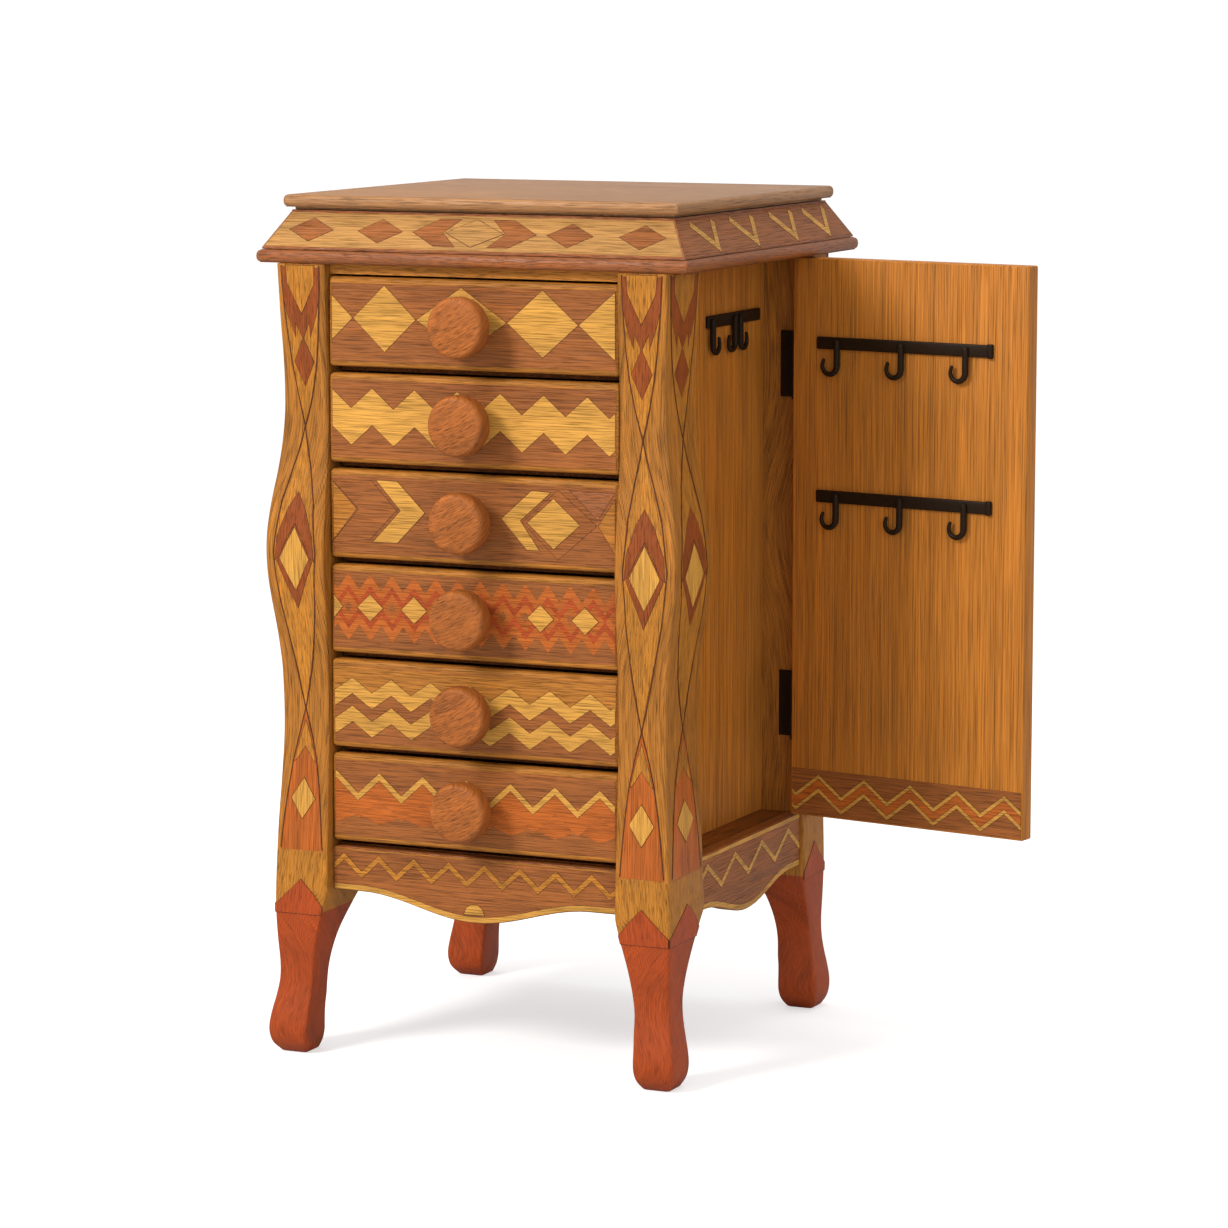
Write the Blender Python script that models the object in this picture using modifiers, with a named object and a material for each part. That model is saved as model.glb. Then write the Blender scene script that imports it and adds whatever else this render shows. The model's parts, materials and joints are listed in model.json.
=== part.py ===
"""Table-top jewelry chest: six drawers, two side doors and a lift-up lid on cabriole legs.

The chest is modelled about its own centre, X to the right, Y to the back, Z up from the floor.
Each moving piece hangs on an empty that lies on its joint's axis.
"""

import math

import bmesh
import bpy
from mathutils import Vector

# ---------------------------------------------------------------- driving dimensions, metres
GAP = 0.0003                     # kept between pieces that touch

CORNICE_HALF = (0.116, 0.112)    # half width and half depth
CORNICE_Z = (0.397, 0.4033)
FRIEZE_FOOT_HALF = (0.1135, 0.1095)
FRIEZE_HEAD_HALF = (0.103, 0.0975)
FRIEZE_HOLLOW_HALF = (0.095, 0.090)
FRIEZE_Z = (CORNICE_Z[1] + GAP, 0.4225)
LID_HALF = (0.1064, 0.1010)
LID_Z = (0.424, 0.430)

POST_INNER = (0.0786, 0.0699)    # straight inner faces of the posts
POST_TOP = CORNICE_Z[0] - GAP
KNEE_Z = 0.084                   # below this height the inner faces curve too
# height, outer face in x, outer face in y of a front post
POST_OUTER = [
    (0.000, 0.1065, 0.1105), (0.004, 0.1092, 0.1145), (0.011, 0.1108, 0.1168),
    (0.019, 0.1102, 0.1160), (0.029, 0.1082, 0.1136), (0.037, 0.1070, 0.1120),
    (0.046, 0.1067, 0.1120), (0.060, 0.1074, 0.1132), (0.075, 0.1079, 0.1138),
    (0.088, 0.1077, 0.1136), (0.104, 0.1072, 0.1129), (0.120, 0.1065, 0.1121),
    (0.140, 0.1053, 0.1108), (0.166, 0.1042, 0.1096), (0.196, 0.1048, 0.1100),
    (0.215, 0.1068, 0.1113), (0.238, 0.1101, 0.1134), (0.252, 0.1110, 0.1140),
    (0.265, 0.1107, 0.1135), (0.280, 0.1089, 0.1116), (0.300, 0.1055, 0.1089),
    (0.322, 0.1033, 0.1076), (0.346, 0.1030, 0.1084), (0.370, 0.1040, 0.1098),
    (0.397, 0.1050, 0.1108),
]
REAR_FACE = 0.0980               # a rear post's back at the waist, nearly straight
REAR_WAVE = 0.35                 # share of the front posts' curve that it follows
REAR_TUCK = [(0.0, 0.0035), (0.104, 0.0035), (0.190, 0.0)]   # how far a rear leg stands in
# height, width of the leg across its front face, width across its side face
LEG_WIDTH = [
    (0.000, 0.0140, 0.0140), (0.004, 0.0185, 0.0190), (0.011, 0.0213, 0.0218),
    (0.024, 0.0203, 0.0200), (0.037, 0.0188, 0.0182), (0.047, 0.0196, 0.0196),
    (0.060, 0.0226, 0.0255), (0.073, 0.0266, 0.0345), (0.084, 0.0295, 0.0440),
]

BOARD_Z = (0.101, 0.1073)
BOARD_HALF_WIDTH = 0.0942
BOARD_Y = (-0.0995, 0.0902)
APRON_THICK = 0.007
FRONT_APRON = {"face": 0.1068, "half": 0.0783, "top": 0.1066, "end": 0.0845, "drop": 0.0108}
SIDE_APRON = {"face": 0.1018, "half": 0.0696, "top": 0.1073, "end": 0.0795, "drop": 0.0098}
BACK_PANEL_Y = (0.0905, 0.0950)

INNER_PANEL_X = (0.0764, 0.0804)
CARCASS_Z = (BOARD_Z[1] + GAP, CORNICE_Z[0] - GAP)

DRAWERS = 6
DRAWER_FACE_Y = -0.1070
DRAWER_HALF_WIDTH = 0.0782
DRAWER_TOP = 0.3908
DRAWER_PITCH = 0.0474
DRAWER_HEIGHT = 0.0440
DRAWER_FRONT_THICK = 0.0092
BOX_HALF_WIDTH = 0.0754
BOX_BACK_Y = 0.0800
BOX_HEIGHT = 0.0380
BOX_WALL = 0.0035
DIVIDER_THICK = 0.0020

KNOB_RADIUS = 0.0150
KNOB_PROJECTION = 0.0210
DOOR_KNOB_SCALE = 0.62

DOOR_X = (0.0922, 0.1012)        # inner and outer face, closed
DOOR_HALF_WIDTH = 0.0689
DOOR_Z = (0.1090, 0.3957)
DOOR_PIN = (0.1040, 0.0676)
RIGHT_DOOR_OPEN = math.radians(80)
MORTISE_FLOOR_Y = 0.0674
HINGE_HEIGHT = 0.034
HINGE_CENTRES_Z = (0.3403, 0.1645)
KNUCKLE_RADIUS = 0.0021
PIN_RADIUS = 0.0010
PIN_HOLE_RADIUS = 0.0014

RAIL_HEIGHT = 0.0063
RAIL_THICK = 0.0018
HOOK_WIRE = 0.0015
HOOK_BEND = 0.0042
HOOK_DROP = 0.0114

IRON = ("black_iron", (0.020, 0.014, 0.010), 0.45, 0.8)
MARQUETRY = ("marquetry_wood", (0.56, 0.27, 0.08), 0.55, 0.0)
BROWN = ("brown_wood", (0.28, 0.12, 0.045), 0.50, 0.0)
PANEL = ("panel_wood", (0.50, 0.22, 0.06), 0.50, 0.0)
BOX_WOOD = ("drawer_wood", (0.60, 0.38, 0.18), 0.60, 0.0)
KNOB_WOOD = ("knob_wood", (0.42, 0.16, 0.05), 0.45, 0.0)
VELVET = ("velvet", (0.16, 0.02, 0.03), 0.95, 0.0)
MIRROR = ("mirror", (0.85, 0.87, 0.88), 0.03, 1.0)


# ---------------------------------------------------------------- making and placing objects
def clear_scene():
    for obj in list(bpy.data.objects):
        bpy.data.objects.remove(obj, do_unlink=True)


def new_collection(name):
    collection = bpy.data.collections.new(name)
    bpy.context.scene.collection.children.link(collection)
    return collection


def material(finish):
    name, colour, roughness, metallic = finish
    found = bpy.data.materials.get(name)
    if found:
        return found
    made = bpy.data.materials.new(name)
    made.use_nodes = True
    shader = made.node_tree.nodes["Principled BSDF"]
    shader.inputs["Base Color"].default_value = (*colour, 1.0)
    shader.inputs["Roughness"].default_value = roughness
    shader.inputs["Metallic"].default_value = metallic
    made.diffuse_color = (*colour, 1.0)
    return made


def add_object(name, mesh, finish, centre, hang, turn=(0.0, 0.0, 0.0)):
    """An object for the mesh, its centre given in the chest's frame, hung on an empty."""
    obj = bpy.data.objects.new(name, mesh)
    parts.objects.link(obj)
    if not mesh.materials:
        mesh.materials.append(material(finish))
    obj.parent = hang
    obj.location = Vector(centre) - Vector(hang["rest"])
    obj.rotation_euler = turn
    return obj


def add_empty(name, place, parent=None):
    """An empty on a joint's axis. It keeps its place in the closed chest as a property."""
    empty = bpy.data.objects.new(name, None)
    parts.objects.link(empty)
    empty["rest"] = place
    if parent:
        empty.parent = parent
        empty.location = Vector(place) - Vector(parent["rest"])
    return empty


def mesh_of(bm, name):
    mesh = bpy.data.meshes.new(name)
    bm.to_mesh(mesh)
    bm.free()
    return mesh


def box_mesh(name, size):
    bm = bmesh.new()
    bmesh.ops.create_cube(bm, size=1.0)
    bmesh.ops.scale(bm, vec=size, verts=bm.verts[:])
    return mesh_of(bm, name)


def bevelled(obj, width, segments=2):
    modifier = obj.modifiers.new("rounded_edges", "BEVEL")
    modifier.width = width
    modifier.segments = segments
    modifier.limit_method = "ANGLE"
    return obj


def box(name, low, high, finish, hang):
    size = [b - a for a, b in zip(low, high)]
    centre = [(a + b) / 2 for a, b in zip(low, high)]
    return add_object(name, box_mesh(name, size), finish, centre, hang)


def cutter_box(name, low, high, target):
    """A box that is cut out of the target. It shares the target's empty."""
    size = [b - a for a, b in zip(low, high)]
    centre = [(a + b) / 2 for a, b in zip(low, high)]
    cutter = bpy.data.objects.new(name, box_mesh(name, size))
    cutters.objects.link(cutter)
    cutter.parent = target.parent
    cutter.location = Vector(centre) - Vector(target.parent["rest"])
    cutter.hide_render = True
    cutter.display_type = "WIRE"
    cut = target.modifiers.new(name, "BOOLEAN")
    cut.operation = "DIFFERENCE"
    cut.solver = "EXACT"
    cut.object = cutter
    return cutter


def joined(name, meshes, cut=None):
    """One mesh from overlapping closed meshes, less the cut mesh."""
    base = bpy.data.objects.new(name, meshes[0])
    parts.objects.link(base)
    helpers = [base]
    steps = [(mesh, "UNION") for mesh in meshes[1:]]
    if cut:
        steps.append((cut, "DIFFERENCE"))
    for mesh, operation in steps:
        helper = bpy.data.objects.new(name + "_helper", mesh)
        parts.objects.link(helper)
        helpers.append(helper)
        step = base.modifiers.new(operation, "BOOLEAN")
        step.operation = operation
        step.solver = "EXACT"
        step.object = helper
    graph = bpy.context.evaluated_depsgraph_get()
    result = bpy.data.meshes.new_from_object(base.evaluated_get(graph))
    for helper in helpers:
        bpy.data.objects.remove(helper, do_unlink=True)
    return result


def curve_mesh(name, curve):
    """The closed mesh of a curve, with its caps welded on."""
    obj = bpy.data.objects.new(name, curve)
    parts.objects.link(obj)
    graph = bpy.context.evaluated_depsgraph_get()
    mesh = bpy.data.meshes.new_from_object(obj.evaluated_get(graph))
    bpy.data.objects.remove(obj, do_unlink=True)
    bm = bmesh.new()
    bm.from_mesh(mesh)
    bmesh.ops.remove_doubles(bm, verts=bm.verts[:], dist=0.00001)
    bmesh.ops.recalc_face_normals(bm, faces=bm.faces[:])
    return mesh_of(bm, name)


def plate_mesh(name, outline, thickness):
    """A flat board: the outline lies in X and Y, and the thickness is centred on it along Z."""
    curve = bpy.data.curves.new(name, "CURVE")
    curve.dimensions = "2D"
    curve.fill_mode = "BOTH"
    curve.extrude = thickness / 2
    spline = curve.splines.new("POLY")
    spline.points.add(len(outline) - 1)
    for point, (x, y) in zip(spline.points, outline):
        point.co = (x, y, 0.0, 1.0)
    spline.use_cyclic_u = True
    return curve_mesh(name, curve)


def wire_mesh(name, path, radius):
    """A round wire along a path of (place, share of the radius)."""
    curve = bpy.data.curves.new(name, "CURVE")
    curve.dimensions = "3D"
    curve.bevel_depth = radius
    curve.bevel_resolution = 1
    curve.use_fill_caps = True
    spline = curve.splines.new("POLY")
    spline.points.add(len(path) - 1)
    for point, (place, share) in zip(spline.points, path):
        point.co = (*place, 1.0)
        point.radius = share
    return curve_mesh(name, curve)


def cylinder_mesh(name, radius, low, high, place=(0.0, 0.0), sides=16):
    """An upright cylinder."""
    bm = bmesh.new()
    bmesh.ops.create_cone(
        bm, cap_ends=True, segments=sides, radius1=radius, radius2=radius, depth=high - low)
    bmesh.ops.translate(bm, vec=(place[0], place[1], (low + high) / 2), verts=bm.verts[:])
    return mesh_of(bm, name)


def block_mesh(name, low, high):
    """A box left where it lies, for a union."""
    bm = bmesh.new()
    bmesh.ops.create_cube(bm, size=1.0)
    bmesh.ops.scale(bm, vec=[b - a for a, b in zip(low, high)], verts=bm.verts[:])
    bmesh.ops.translate(bm, vec=[(a + b) / 2 for a, b in zip(low, high)], verts=bm.verts[:])
    return mesh_of(bm, name)


# ---------------------------------------------------------------- shapes that follow a rule
def smooth(table, height, column=1):
    """The table's value at a height, on a smooth curve through its rows."""
    rows = [(row[0], row[column]) for row in table]
    height = min(max(height, rows[0][0]), rows[-1][0])
    last = len(rows) - 2
    i = next((k for k in range(last + 1) if height <= rows[k + 1][0]), last)

    def slope(k):
        before, after = rows[max(k - 1, 0)], rows[min(k + 1, len(rows) - 1)]
        return (after[1] - before[1]) / (after[0] - before[0])

    (z0, v0), (z1, v1) = rows[i], rows[i + 1]
    step = z1 - z0
    t = (height - z0) / step
    return (
        (2 * t**3 - 3 * t**2 + 1) * v0 + (t**3 - 2 * t**2 + t) * step * slope(i)
        + (-2 * t**3 + 3 * t**2) * v1 + (t**3 - t**2) * step * slope(i + 1)
    )


def post_section(height, is_rear):
    """Outer and inner faces of a post at a height: (outer x, inner x, outer y, inner y)."""
    outer_x, outer_y = smooth(POST_OUTER, height, 1), smooth(POST_OUTER, height, 2)
    if is_rear:
        waist = min(row[1] for row in POST_OUTER)
        outer_y = REAR_FACE + REAR_WAVE * (outer_x - waist)
        outer_x -= smooth(REAR_TUCK, height)
    if height >= KNEE_Z:
        return outer_x, POST_INNER[0], outer_y, POST_INNER[1]
    inner_x = max(outer_x - smooth(LEG_WIDTH, height, 1), POST_INNER[0])
    inner_y = max(outer_y - smooth(LEG_WIDTH, height, 2), POST_INNER[1])
    return outer_x, inner_x, outer_y, inner_y


def post_mesh(name, side_x, side_y):
    """A square blank sliced at many heights, each slice set to the post's section."""
    leg_slices, post_slices = 18, 30
    heights = [KNEE_Z * i / leg_slices for i in range(1, leg_slices + 1)]
    heights += [KNEE_Z + (POST_TOP - KNEE_Z) * i / post_slices for i in range(1, post_slices)]
    bm = bmesh.new()
    bmesh.ops.create_cube(bm, size=1.0)
    for vert in bm.verts:
        vert.co.z = POST_TOP if vert.co.z > 0 else 0.0
    for height in heights:
        everything = bm.verts[:] + bm.edges[:] + bm.faces[:]
        bmesh.ops.bisect_plane(
            bm, geom=everything, plane_co=(0, 0, height), plane_no=(0, 0, 1))
    for vert in bm.verts:
        outer_x, inner_x, outer_y, inner_y = post_section(vert.co.z, side_y > 0)
        vert.co.x = side_x * (outer_x if vert.co.x * side_x > 0 else inner_x)
        vert.co.y = side_y * (outer_y if vert.co.y * side_y > 0 else inner_y)
    return mesh_of(bm, name)


def apron_outline(half, top, end, drop):
    """A board with a straight top and a bottom edge that swells down at its middle."""
    steps = 28
    swell = 0.80
    points = [(-half, top), (half, top)]
    for i in range(steps + 1):
        x = half - 2 * half * i / steps
        share = min(abs(x) / (half * swell), 1.0)
        points.append((x, end - drop * 0.5 * (1 + math.cos(math.pi * share))))
    return points[::-1]


def turned_knob_mesh(name):
    """A round disc on a neck, turned about Z, with its seat at z = 0."""
    rim = 0.0032
    disc = 0.0118
    neck = 0.0060
    profile = [(0.0, KNOB_PROJECTION), (KNOB_RADIUS - rim, KNOB_PROJECTION - 0.0006)]
    for i in range(1, 4):
        angle = math.pi / 2 * (1 - i / 4)
        profile.append((
            KNOB_RADIUS - rim + rim * math.cos(angle),
            KNOB_PROJECTION - rim - 0.0006 + rim * math.sin(angle)))
    profile += [
        (KNOB_RADIUS, KNOB_PROJECTION - rim - 0.0012),
        (KNOB_RADIUS - 0.0012, KNOB_PROJECTION - disc),
        (neck, KNOB_PROJECTION - disc - 0.0014),
        (neck, 0.0012), (neck + 0.0012, 0.0), (0.0, 0.0)]
    bm = bmesh.new()
    verts = [bm.verts.new((x, 0.0, z)) for x, z in profile]
    for first, second in zip(verts, verts[1:]):
        bm.edges.new((first, second))
    obj = bpy.data.objects.new(name, mesh_of(bm, name))
    parts.objects.link(obj)
    screw = obj.modifiers.new("turned", "SCREW")
    screw.steps = screw.render_steps = 20
    screw.use_merge_vertices = True
    screw.merge_threshold = 0.00005
    graph = bpy.context.evaluated_depsgraph_get()
    mesh = bpy.data.meshes.new_from_object(obj.evaluated_get(graph))
    bpy.data.objects.remove(obj, do_unlink=True)
    return mesh


def hook_rail_mesh(name, length, hooks):
    """A flat bar with bent wire hooks, its back at y = 0.

    X runs along the bar, Y out of the face that it is screwed to, Z up. Each hook is
    (place along the bar, +1 or -1 for the side that it bends to).
    """
    bar = block_mesh(
        name, (0.0, 0.0, -RAIL_HEIGHT / 2), (length, RAIL_THICK, RAIL_HEIGHT / 2))
    wires = []
    out = RAIL_THICK + HOOK_WIRE * 0.6
    for place, side in hooks:
        path = [((place, out, 0.0), 1.0), ((place, out, -HOOK_DROP), 1.0)]
        for i in range(1, 7):
            angle = math.pi * i / 6
            path.append((
                (place + side * HOOK_BEND * (1 - math.cos(angle)), out,
                 -HOOK_DROP - HOOK_BEND * math.sin(angle)), 1.0 - 0.05 * i))
        path.append(((place + side * (2 * HOOK_BEND - 0.0004), out, -HOOK_DROP + 0.0026), 0.6))
        wires.append(wire_mesh(name, path, HOOK_WIRE))
    return joined(name, [bar] + wires)


# ---------------------------------------------------------------- the chest, group by group
def build_posts(hang):
    for side_y, row in ((-1, "front"), (1, "rear")):
        for side_x, side in ((-1, "left"), (1, "right")):
            name = f"post_{row}_{side}"
            add_object(name, post_mesh(name, side_x, side_y), MARQUETRY, (0, 0, 0), hang)


def build_aprons(hang):
    front = FRONT_APRON
    outline = apron_outline(front["half"], front["top"], front["end"], front["drop"])
    mesh = plate_mesh("apron_front", outline, APRON_THICK)
    middle = -(front["face"] - APRON_THICK / 2)
    add_object(
        "apron_front", mesh, MARQUETRY, (0, middle, 0), hang, turn=(math.pi / 2, 0, 0))
    side = SIDE_APRON
    outline = apron_outline(side["half"], side["top"], side["end"], side["drop"])
    for sign, word in ((-1, "left"), (1, "right")):
        mesh = plate_mesh(f"apron_{word}", outline, APRON_THICK)
        middle = sign * (side["face"] - APRON_THICK / 2)
        add_object(
            f"apron_{word}", mesh, MARQUETRY, (middle, 0, 0), hang,
            turn=(math.pi / 2, 0, math.pi / 2))


def build_carcass(hang):
    wide = BOARD_HALF_WIDTH
    inner_x, inner_y = POST_INNER[0] - GAP, POST_INNER[1] - GAP
    outline = []
    for sign_x, sign_y in ((1, 1), (-1, 1), (-1, -1), (1, -1)):
        end_y = BOARD_Y[1] if sign_y > 0 else BOARD_Y[0]
        corner = [(sign_x * wide, sign_y * inner_y), (sign_x * inner_x, sign_y * inner_y),
                  (sign_x * inner_x, end_y)]
        outline += corner if sign_x * sign_y > 0 else corner[::-1]
    board = plate_mesh("bottom_board", outline, BOARD_Z[1] - BOARD_Z[0])
    add_object("bottom_board", board, BROWN, (0, 0, sum(BOARD_Z) / 2), hang)

    outline = apron_outline(inner_x, CARCASS_Z[1], FRONT_APRON["end"], FRONT_APRON["drop"])
    back = plate_mesh("back_panel", outline, BACK_PANEL_Y[1] - BACK_PANEL_Y[0])
    add_object(
        "back_panel", back, PANEL, (0, sum(BACK_PANEL_Y) / 2, 0), hang,
        turn=(math.pi / 2, 0, 0))

    for sign, word in ((-1, "left"), (1, "right")):
        xs = sorted((sign * INNER_PANEL_X[0], sign * INNER_PANEL_X[1]))
        box(f"inner_panel_{word}", (xs[0], -inner_y, CARCASS_Z[0]),
            (xs[1], inner_y, CARCASS_Z[1]), PANEL, hang)

    shelf_x = INNER_PANEL_X[0] - GAP
    front_y = DRAWER_FACE_Y + DRAWER_FRONT_THICK + 0.0008
    for i in range(1, DRAWERS):
        middle = DRAWER_TOP - i * DRAWER_PITCH + (DRAWER_PITCH - DRAWER_HEIGHT) / 2
        box(f"divider_{i}", (-shelf_x, front_y, middle - DIVIDER_THICK / 2),
            (shelf_x, BACK_PANEL_Y[0] - GAP, middle + DIVIDER_THICK / 2), BROWN, hang)
    box("top_rail", (-inner_x, DRAWER_FACE_Y + 0.0020, DRAWER_TOP + 0.0012),
        (inner_x, front_y + 0.0100, CARCASS_Z[1]), BROWN, hang)


def build_top(hang):
    wide, deep = CORNICE_HALF
    cornice = box("cornice", (-wide, -deep, CORNICE_Z[0]), (wide, deep, CORNICE_Z[1]), BROWN, hang)
    bevelled(cornice, 0.0022)

    wide, deep = FRIEZE_FOOT_HALF
    frieze = box("frieze_frame", (-wide, -deep, FRIEZE_Z[0]), (wide, deep, FRIEZE_Z[1]),
                 MARQUETRY, hang)
    for vert in frieze.data.vertices:
        if vert.co.z > 0:
            vert.co.x = math.copysign(FRIEZE_HEAD_HALF[0], vert.co.x)
            vert.co.y = math.copysign(FRIEZE_HEAD_HALF[1], vert.co.y)
    wide, deep = FRIEZE_HOLLOW_HALF
    cutter_box("tray_hollow", (-wide, -deep, FRIEZE_Z[0] - 0.01),
               (wide, deep, FRIEZE_Z[1] + 0.01), frieze)

    side = 0.0010
    cushion = box("ring_cushion", (-wide + side, -deep + side, CORNICE_Z[1] + GAP),
                  (-0.0040, deep - side, 0.4180), VELVET, hang)
    bevelled(cushion, 0.0035)


def build_lid(hang):
    wide, deep = LID_HALF
    lid = box("lid_panel", (-wide, -deep, LID_Z[0]), (wide, deep, LID_Z[1]), BROWN, hang)
    bevelled(lid, 0.0016)
    box("lid_mirror", (-0.085, -0.080, 0.4215), (0.085, 0.080, LID_Z[0] - GAP), MIRROR, hang)


def build_lid_hinge(fixed, moving, pin):
    """A long hinge of two leaves. Five knuckles share its length, three on the fixed leaf."""
    half_length = 0.080
    radius = 0.0018
    leaf = 0.0004
    knuckles = 5
    share = 2 * half_length / knuckles
    front_y = FRIEZE_HOLLOW_HALF[1] + 0.0010
    levels = {"lid_hinge_frame_leaf": FRIEZE_Z[1] + GAP, "lid_hinge_lid_leaf": LID_Z[0] - GAP - leaf}
    for name, hang, first in (
            ("lid_hinge_frame_leaf", fixed, 0), ("lid_hinge_lid_leaf", moving, 1)):
        low = levels[name]
        pieces = [block_mesh(name, (-half_length, front_y, low), (half_length, 0.1003, low + leaf))]
        for i in range(first, knuckles, 2):
            start = -half_length + i * share + GAP
            stop = start + share - 2 * GAP
            tongue = block_mesh(name, (start, 0.0998, low), (stop, pin[1], low + leaf))
            roll = cylinder_mesh(name, radius, start, stop, sides=12)
            for vert in roll.vertices:
                x, y, z = vert.co
                vert.co = (z, pin[1] + x, pin[2] - y)
            pieces += [tongue, roll]
        mesh = joined(name, pieces)
        add_object(name, mesh, IRON, (0, 0, 0), hang)


def build_drawers(root):
    front_size = (2 * DRAWER_HALF_WIDTH, DRAWER_FRONT_THICK, DRAWER_HEIGHT)
    front_mesh = box_mesh("drawer_front", front_size)
    box_front_y = DRAWER_FACE_Y + DRAWER_FRONT_THICK + GAP
    box_size = (2 * BOX_HALF_WIDTH, BOX_BACK_Y - box_front_y, BOX_HEIGHT)
    bm = bmesh.new()
    bmesh.ops.create_cube(bm, size=1.0)
    bmesh.ops.scale(bm, vec=box_size, verts=bm.verts[:])
    top = [face for face in bm.faces if face.normal.z > 0.5]
    bmesh.ops.delete(bm, geom=top, context="FACES_ONLY")
    open_box = mesh_of(bm, "drawer_box")
    knob_mesh = turned_knob_mesh("drawer_knob")
    for i in range(1, DRAWERS + 1):
        top_z = DRAWER_TOP - (i - 1) * DRAWER_PITCH
        middle_z = top_z - DRAWER_HEIGHT / 2
        slide = add_empty(f"drawer_{i}_slide", (0, DRAWER_FACE_Y, middle_z), root)
        front = add_object(
            f"drawer_front_{i}", front_mesh, MARQUETRY,
            (0, DRAWER_FACE_Y + DRAWER_FRONT_THICK / 2, middle_z), slide)
        bevelled(front, 0.0020)
        box_z = top_z - DRAWER_HEIGHT + 0.0004 + BOX_HEIGHT / 2
        tray = add_object(
            f"drawer_box_{i}", open_box, BOX_WOOD, (0, (box_front_y + BOX_BACK_Y) / 2, box_z),
            slide)
        walls = tray.modifiers.new("walls", "SOLIDIFY")
        walls.thickness = BOX_WALL
        walls.offset = -1
        walls.use_even_offset = True
        add_object(
            f"drawer_knob_{i}", knob_mesh, KNOB_WOOD, (0, DRAWER_FACE_Y - GAP, middle_z), slide,
            turn=(math.pi / 2, 0, 0))


def build_door_hinges(side, word, fixed, moving):
    """Two lift-off hinges: a leaf with a pin on the post, a leaf with a sleeve on the door."""
    pin_x, pin_y = side * DOOR_PIN[0], DOOR_PIN[1]
    half = HINGE_HEIGHT / 2
    split = -0.0010
    clear_x = DOOR_PIN[0] - KNUCKLE_RADIUS - 0.0004
    post_leaf_y = (DOOR_PIN[1] + KNUCKLE_RADIUS - 0.0008, DOOR_PIN[1] + KNUCKLE_RADIUS)
    door_leaf_y = (MORTISE_FLOOR_Y + GAP, MORTISE_FLOOR_Y + GAP + 0.0008)

    def slab(near_x, far_x, ys, low, high):
        xs = sorted((side * near_x, side * far_x))
        return block_mesh("leaf", (xs[0], ys[0], low), (xs[1], ys[1], high))

    centre = (pin_x, pin_y)
    post_leaf = joined("post_leaf", [
        slab(0.0902, clear_x, post_leaf_y, -half, half),
        slab(clear_x - 0.001, DOOR_PIN[0], post_leaf_y, -half, split),
        cylinder_mesh("knuckle", KNUCKLE_RADIUS, -half, split, centre),
        cylinder_mesh("pin", PIN_RADIUS, split - 0.002, half - 0.001, centre, sides=12)])
    door_leaf = joined("door_leaf", [
        slab(0.0930, clear_x - 0.0006, door_leaf_y, -half, half),
        slab(clear_x - 0.001, DOOR_PIN[0] - PIN_HOLE_RADIUS - 0.0002, door_leaf_y,
             split + GAP, half),
        cylinder_mesh("sleeve", KNUCKLE_RADIUS, split + GAP, half, centre)],
        cut=cylinder_mesh("pin_hole", PIN_HOLE_RADIUS, split - 0.01, half + 0.01, centre))
    for level, z in zip(("upper", "lower"), HINGE_CENTRES_Z):
        add_object(f"hinge_post_leaf_{word}_{level}", post_leaf, IRON, (0, 0, z), fixed)
        add_object(f"hinge_door_leaf_{word}_{level}", door_leaf, IRON, (0, 0, z), moving)


def build_door(side, word, hang):
    xs = sorted((side * DOOR_X[0], side * DOOR_X[1]))
    door = box(f"door_{word}", (xs[0], -DOOR_HALF_WIDTH, DOOR_Z[0]),
               (xs[1], DOOR_HALF_WIDTH, DOOR_Z[1]), PANEL, hang)
    bevelled(door, 0.0008, segments=1)
    for level, z in zip(("upper", "lower"), HINGE_CENTRES_Z):
        reach = HINGE_HEIGHT / 2 + 0.0004
        near, far = sorted((side * 0.0925, side * 0.1030))
        cutter_box(f"mortise_{word}_{level}", (near, MORTISE_FLOOR_Y, z - reach),
                   (far, DOOR_HALF_WIDTH + 0.002, z + reach), door)
    knob = turned_knob_mesh(f"door_knob_{word}")
    for vert in knob.vertices:
        vert.co *= DOOR_KNOB_SCALE
    add_object(
        f"door_knob_{word}", knob, KNOB_WOOD,
        (side * (DOOR_X[1] + GAP), -DOOR_HALF_WIDTH + 0.022, sum(DOOR_Z) / 2), hang,
        turn=(0, side * math.pi / 2, 0))


def build_hook_rails(side, word, root, door_hang):
    """Two rails on the door and one in the compartment. Their hooks bend along the face."""
    door_length = 0.1020
    mesh = hook_rail_mesh(
        f"door_hooks_{word}", door_length,
        [(at if side > 0 else door_length - at, side) for at in (0.0150, 0.0520, 0.0895)])
    from_hinge = 0.0165
    start_y = DOOR_HALF_WIDTH - from_hinge - (door_length if side > 0 else 0.0)
    for level, z in (("upper", 0.3530), ("lower", 0.2750)):
        add_object(
            f"door_hooks_{word}_{level}", mesh, IRON,
            (side * (DOOR_X[0] - GAP), start_y, z), door_hang, turn=(0, 0, side * math.pi / 2))

    length = 0.0680
    places = [(0.0040, 1), (0.0325, -1), (0.0395, 1)]
    if side > 0:
        places = [(length - at, -bend) for at, bend in places]
    mesh = hook_rail_mesh(f"recess_hooks_{word}", length, places)
    front_y = -0.0070
    start_y = front_y + length if side > 0 else front_y
    add_object(
        f"recess_hooks_{word}", mesh, IRON, (side * (INNER_PANEL_X[1] + GAP), start_y, 0.3660),
        root, turn=(0, 0, -side * math.pi / 2))


def put_origin_under_box(root):
    """Moves the chest so that its origin is the middle of its box, at the floor."""
    graph = bpy.context.evaluated_depsgraph_get()
    graph.update()
    corners = []
    for obj in parts.objects:
        if obj.type == "MESH":
            shown = obj.evaluated_get(graph)
            corners += [shown.matrix_world @ vert.co for vert in shown.data.vertices]
    for axis in (0, 1):
        low = min(corner[axis] for corner in corners)
        high = max(corner[axis] for corner in corners)
        root.location[axis] = -(low + high) / 2


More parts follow.
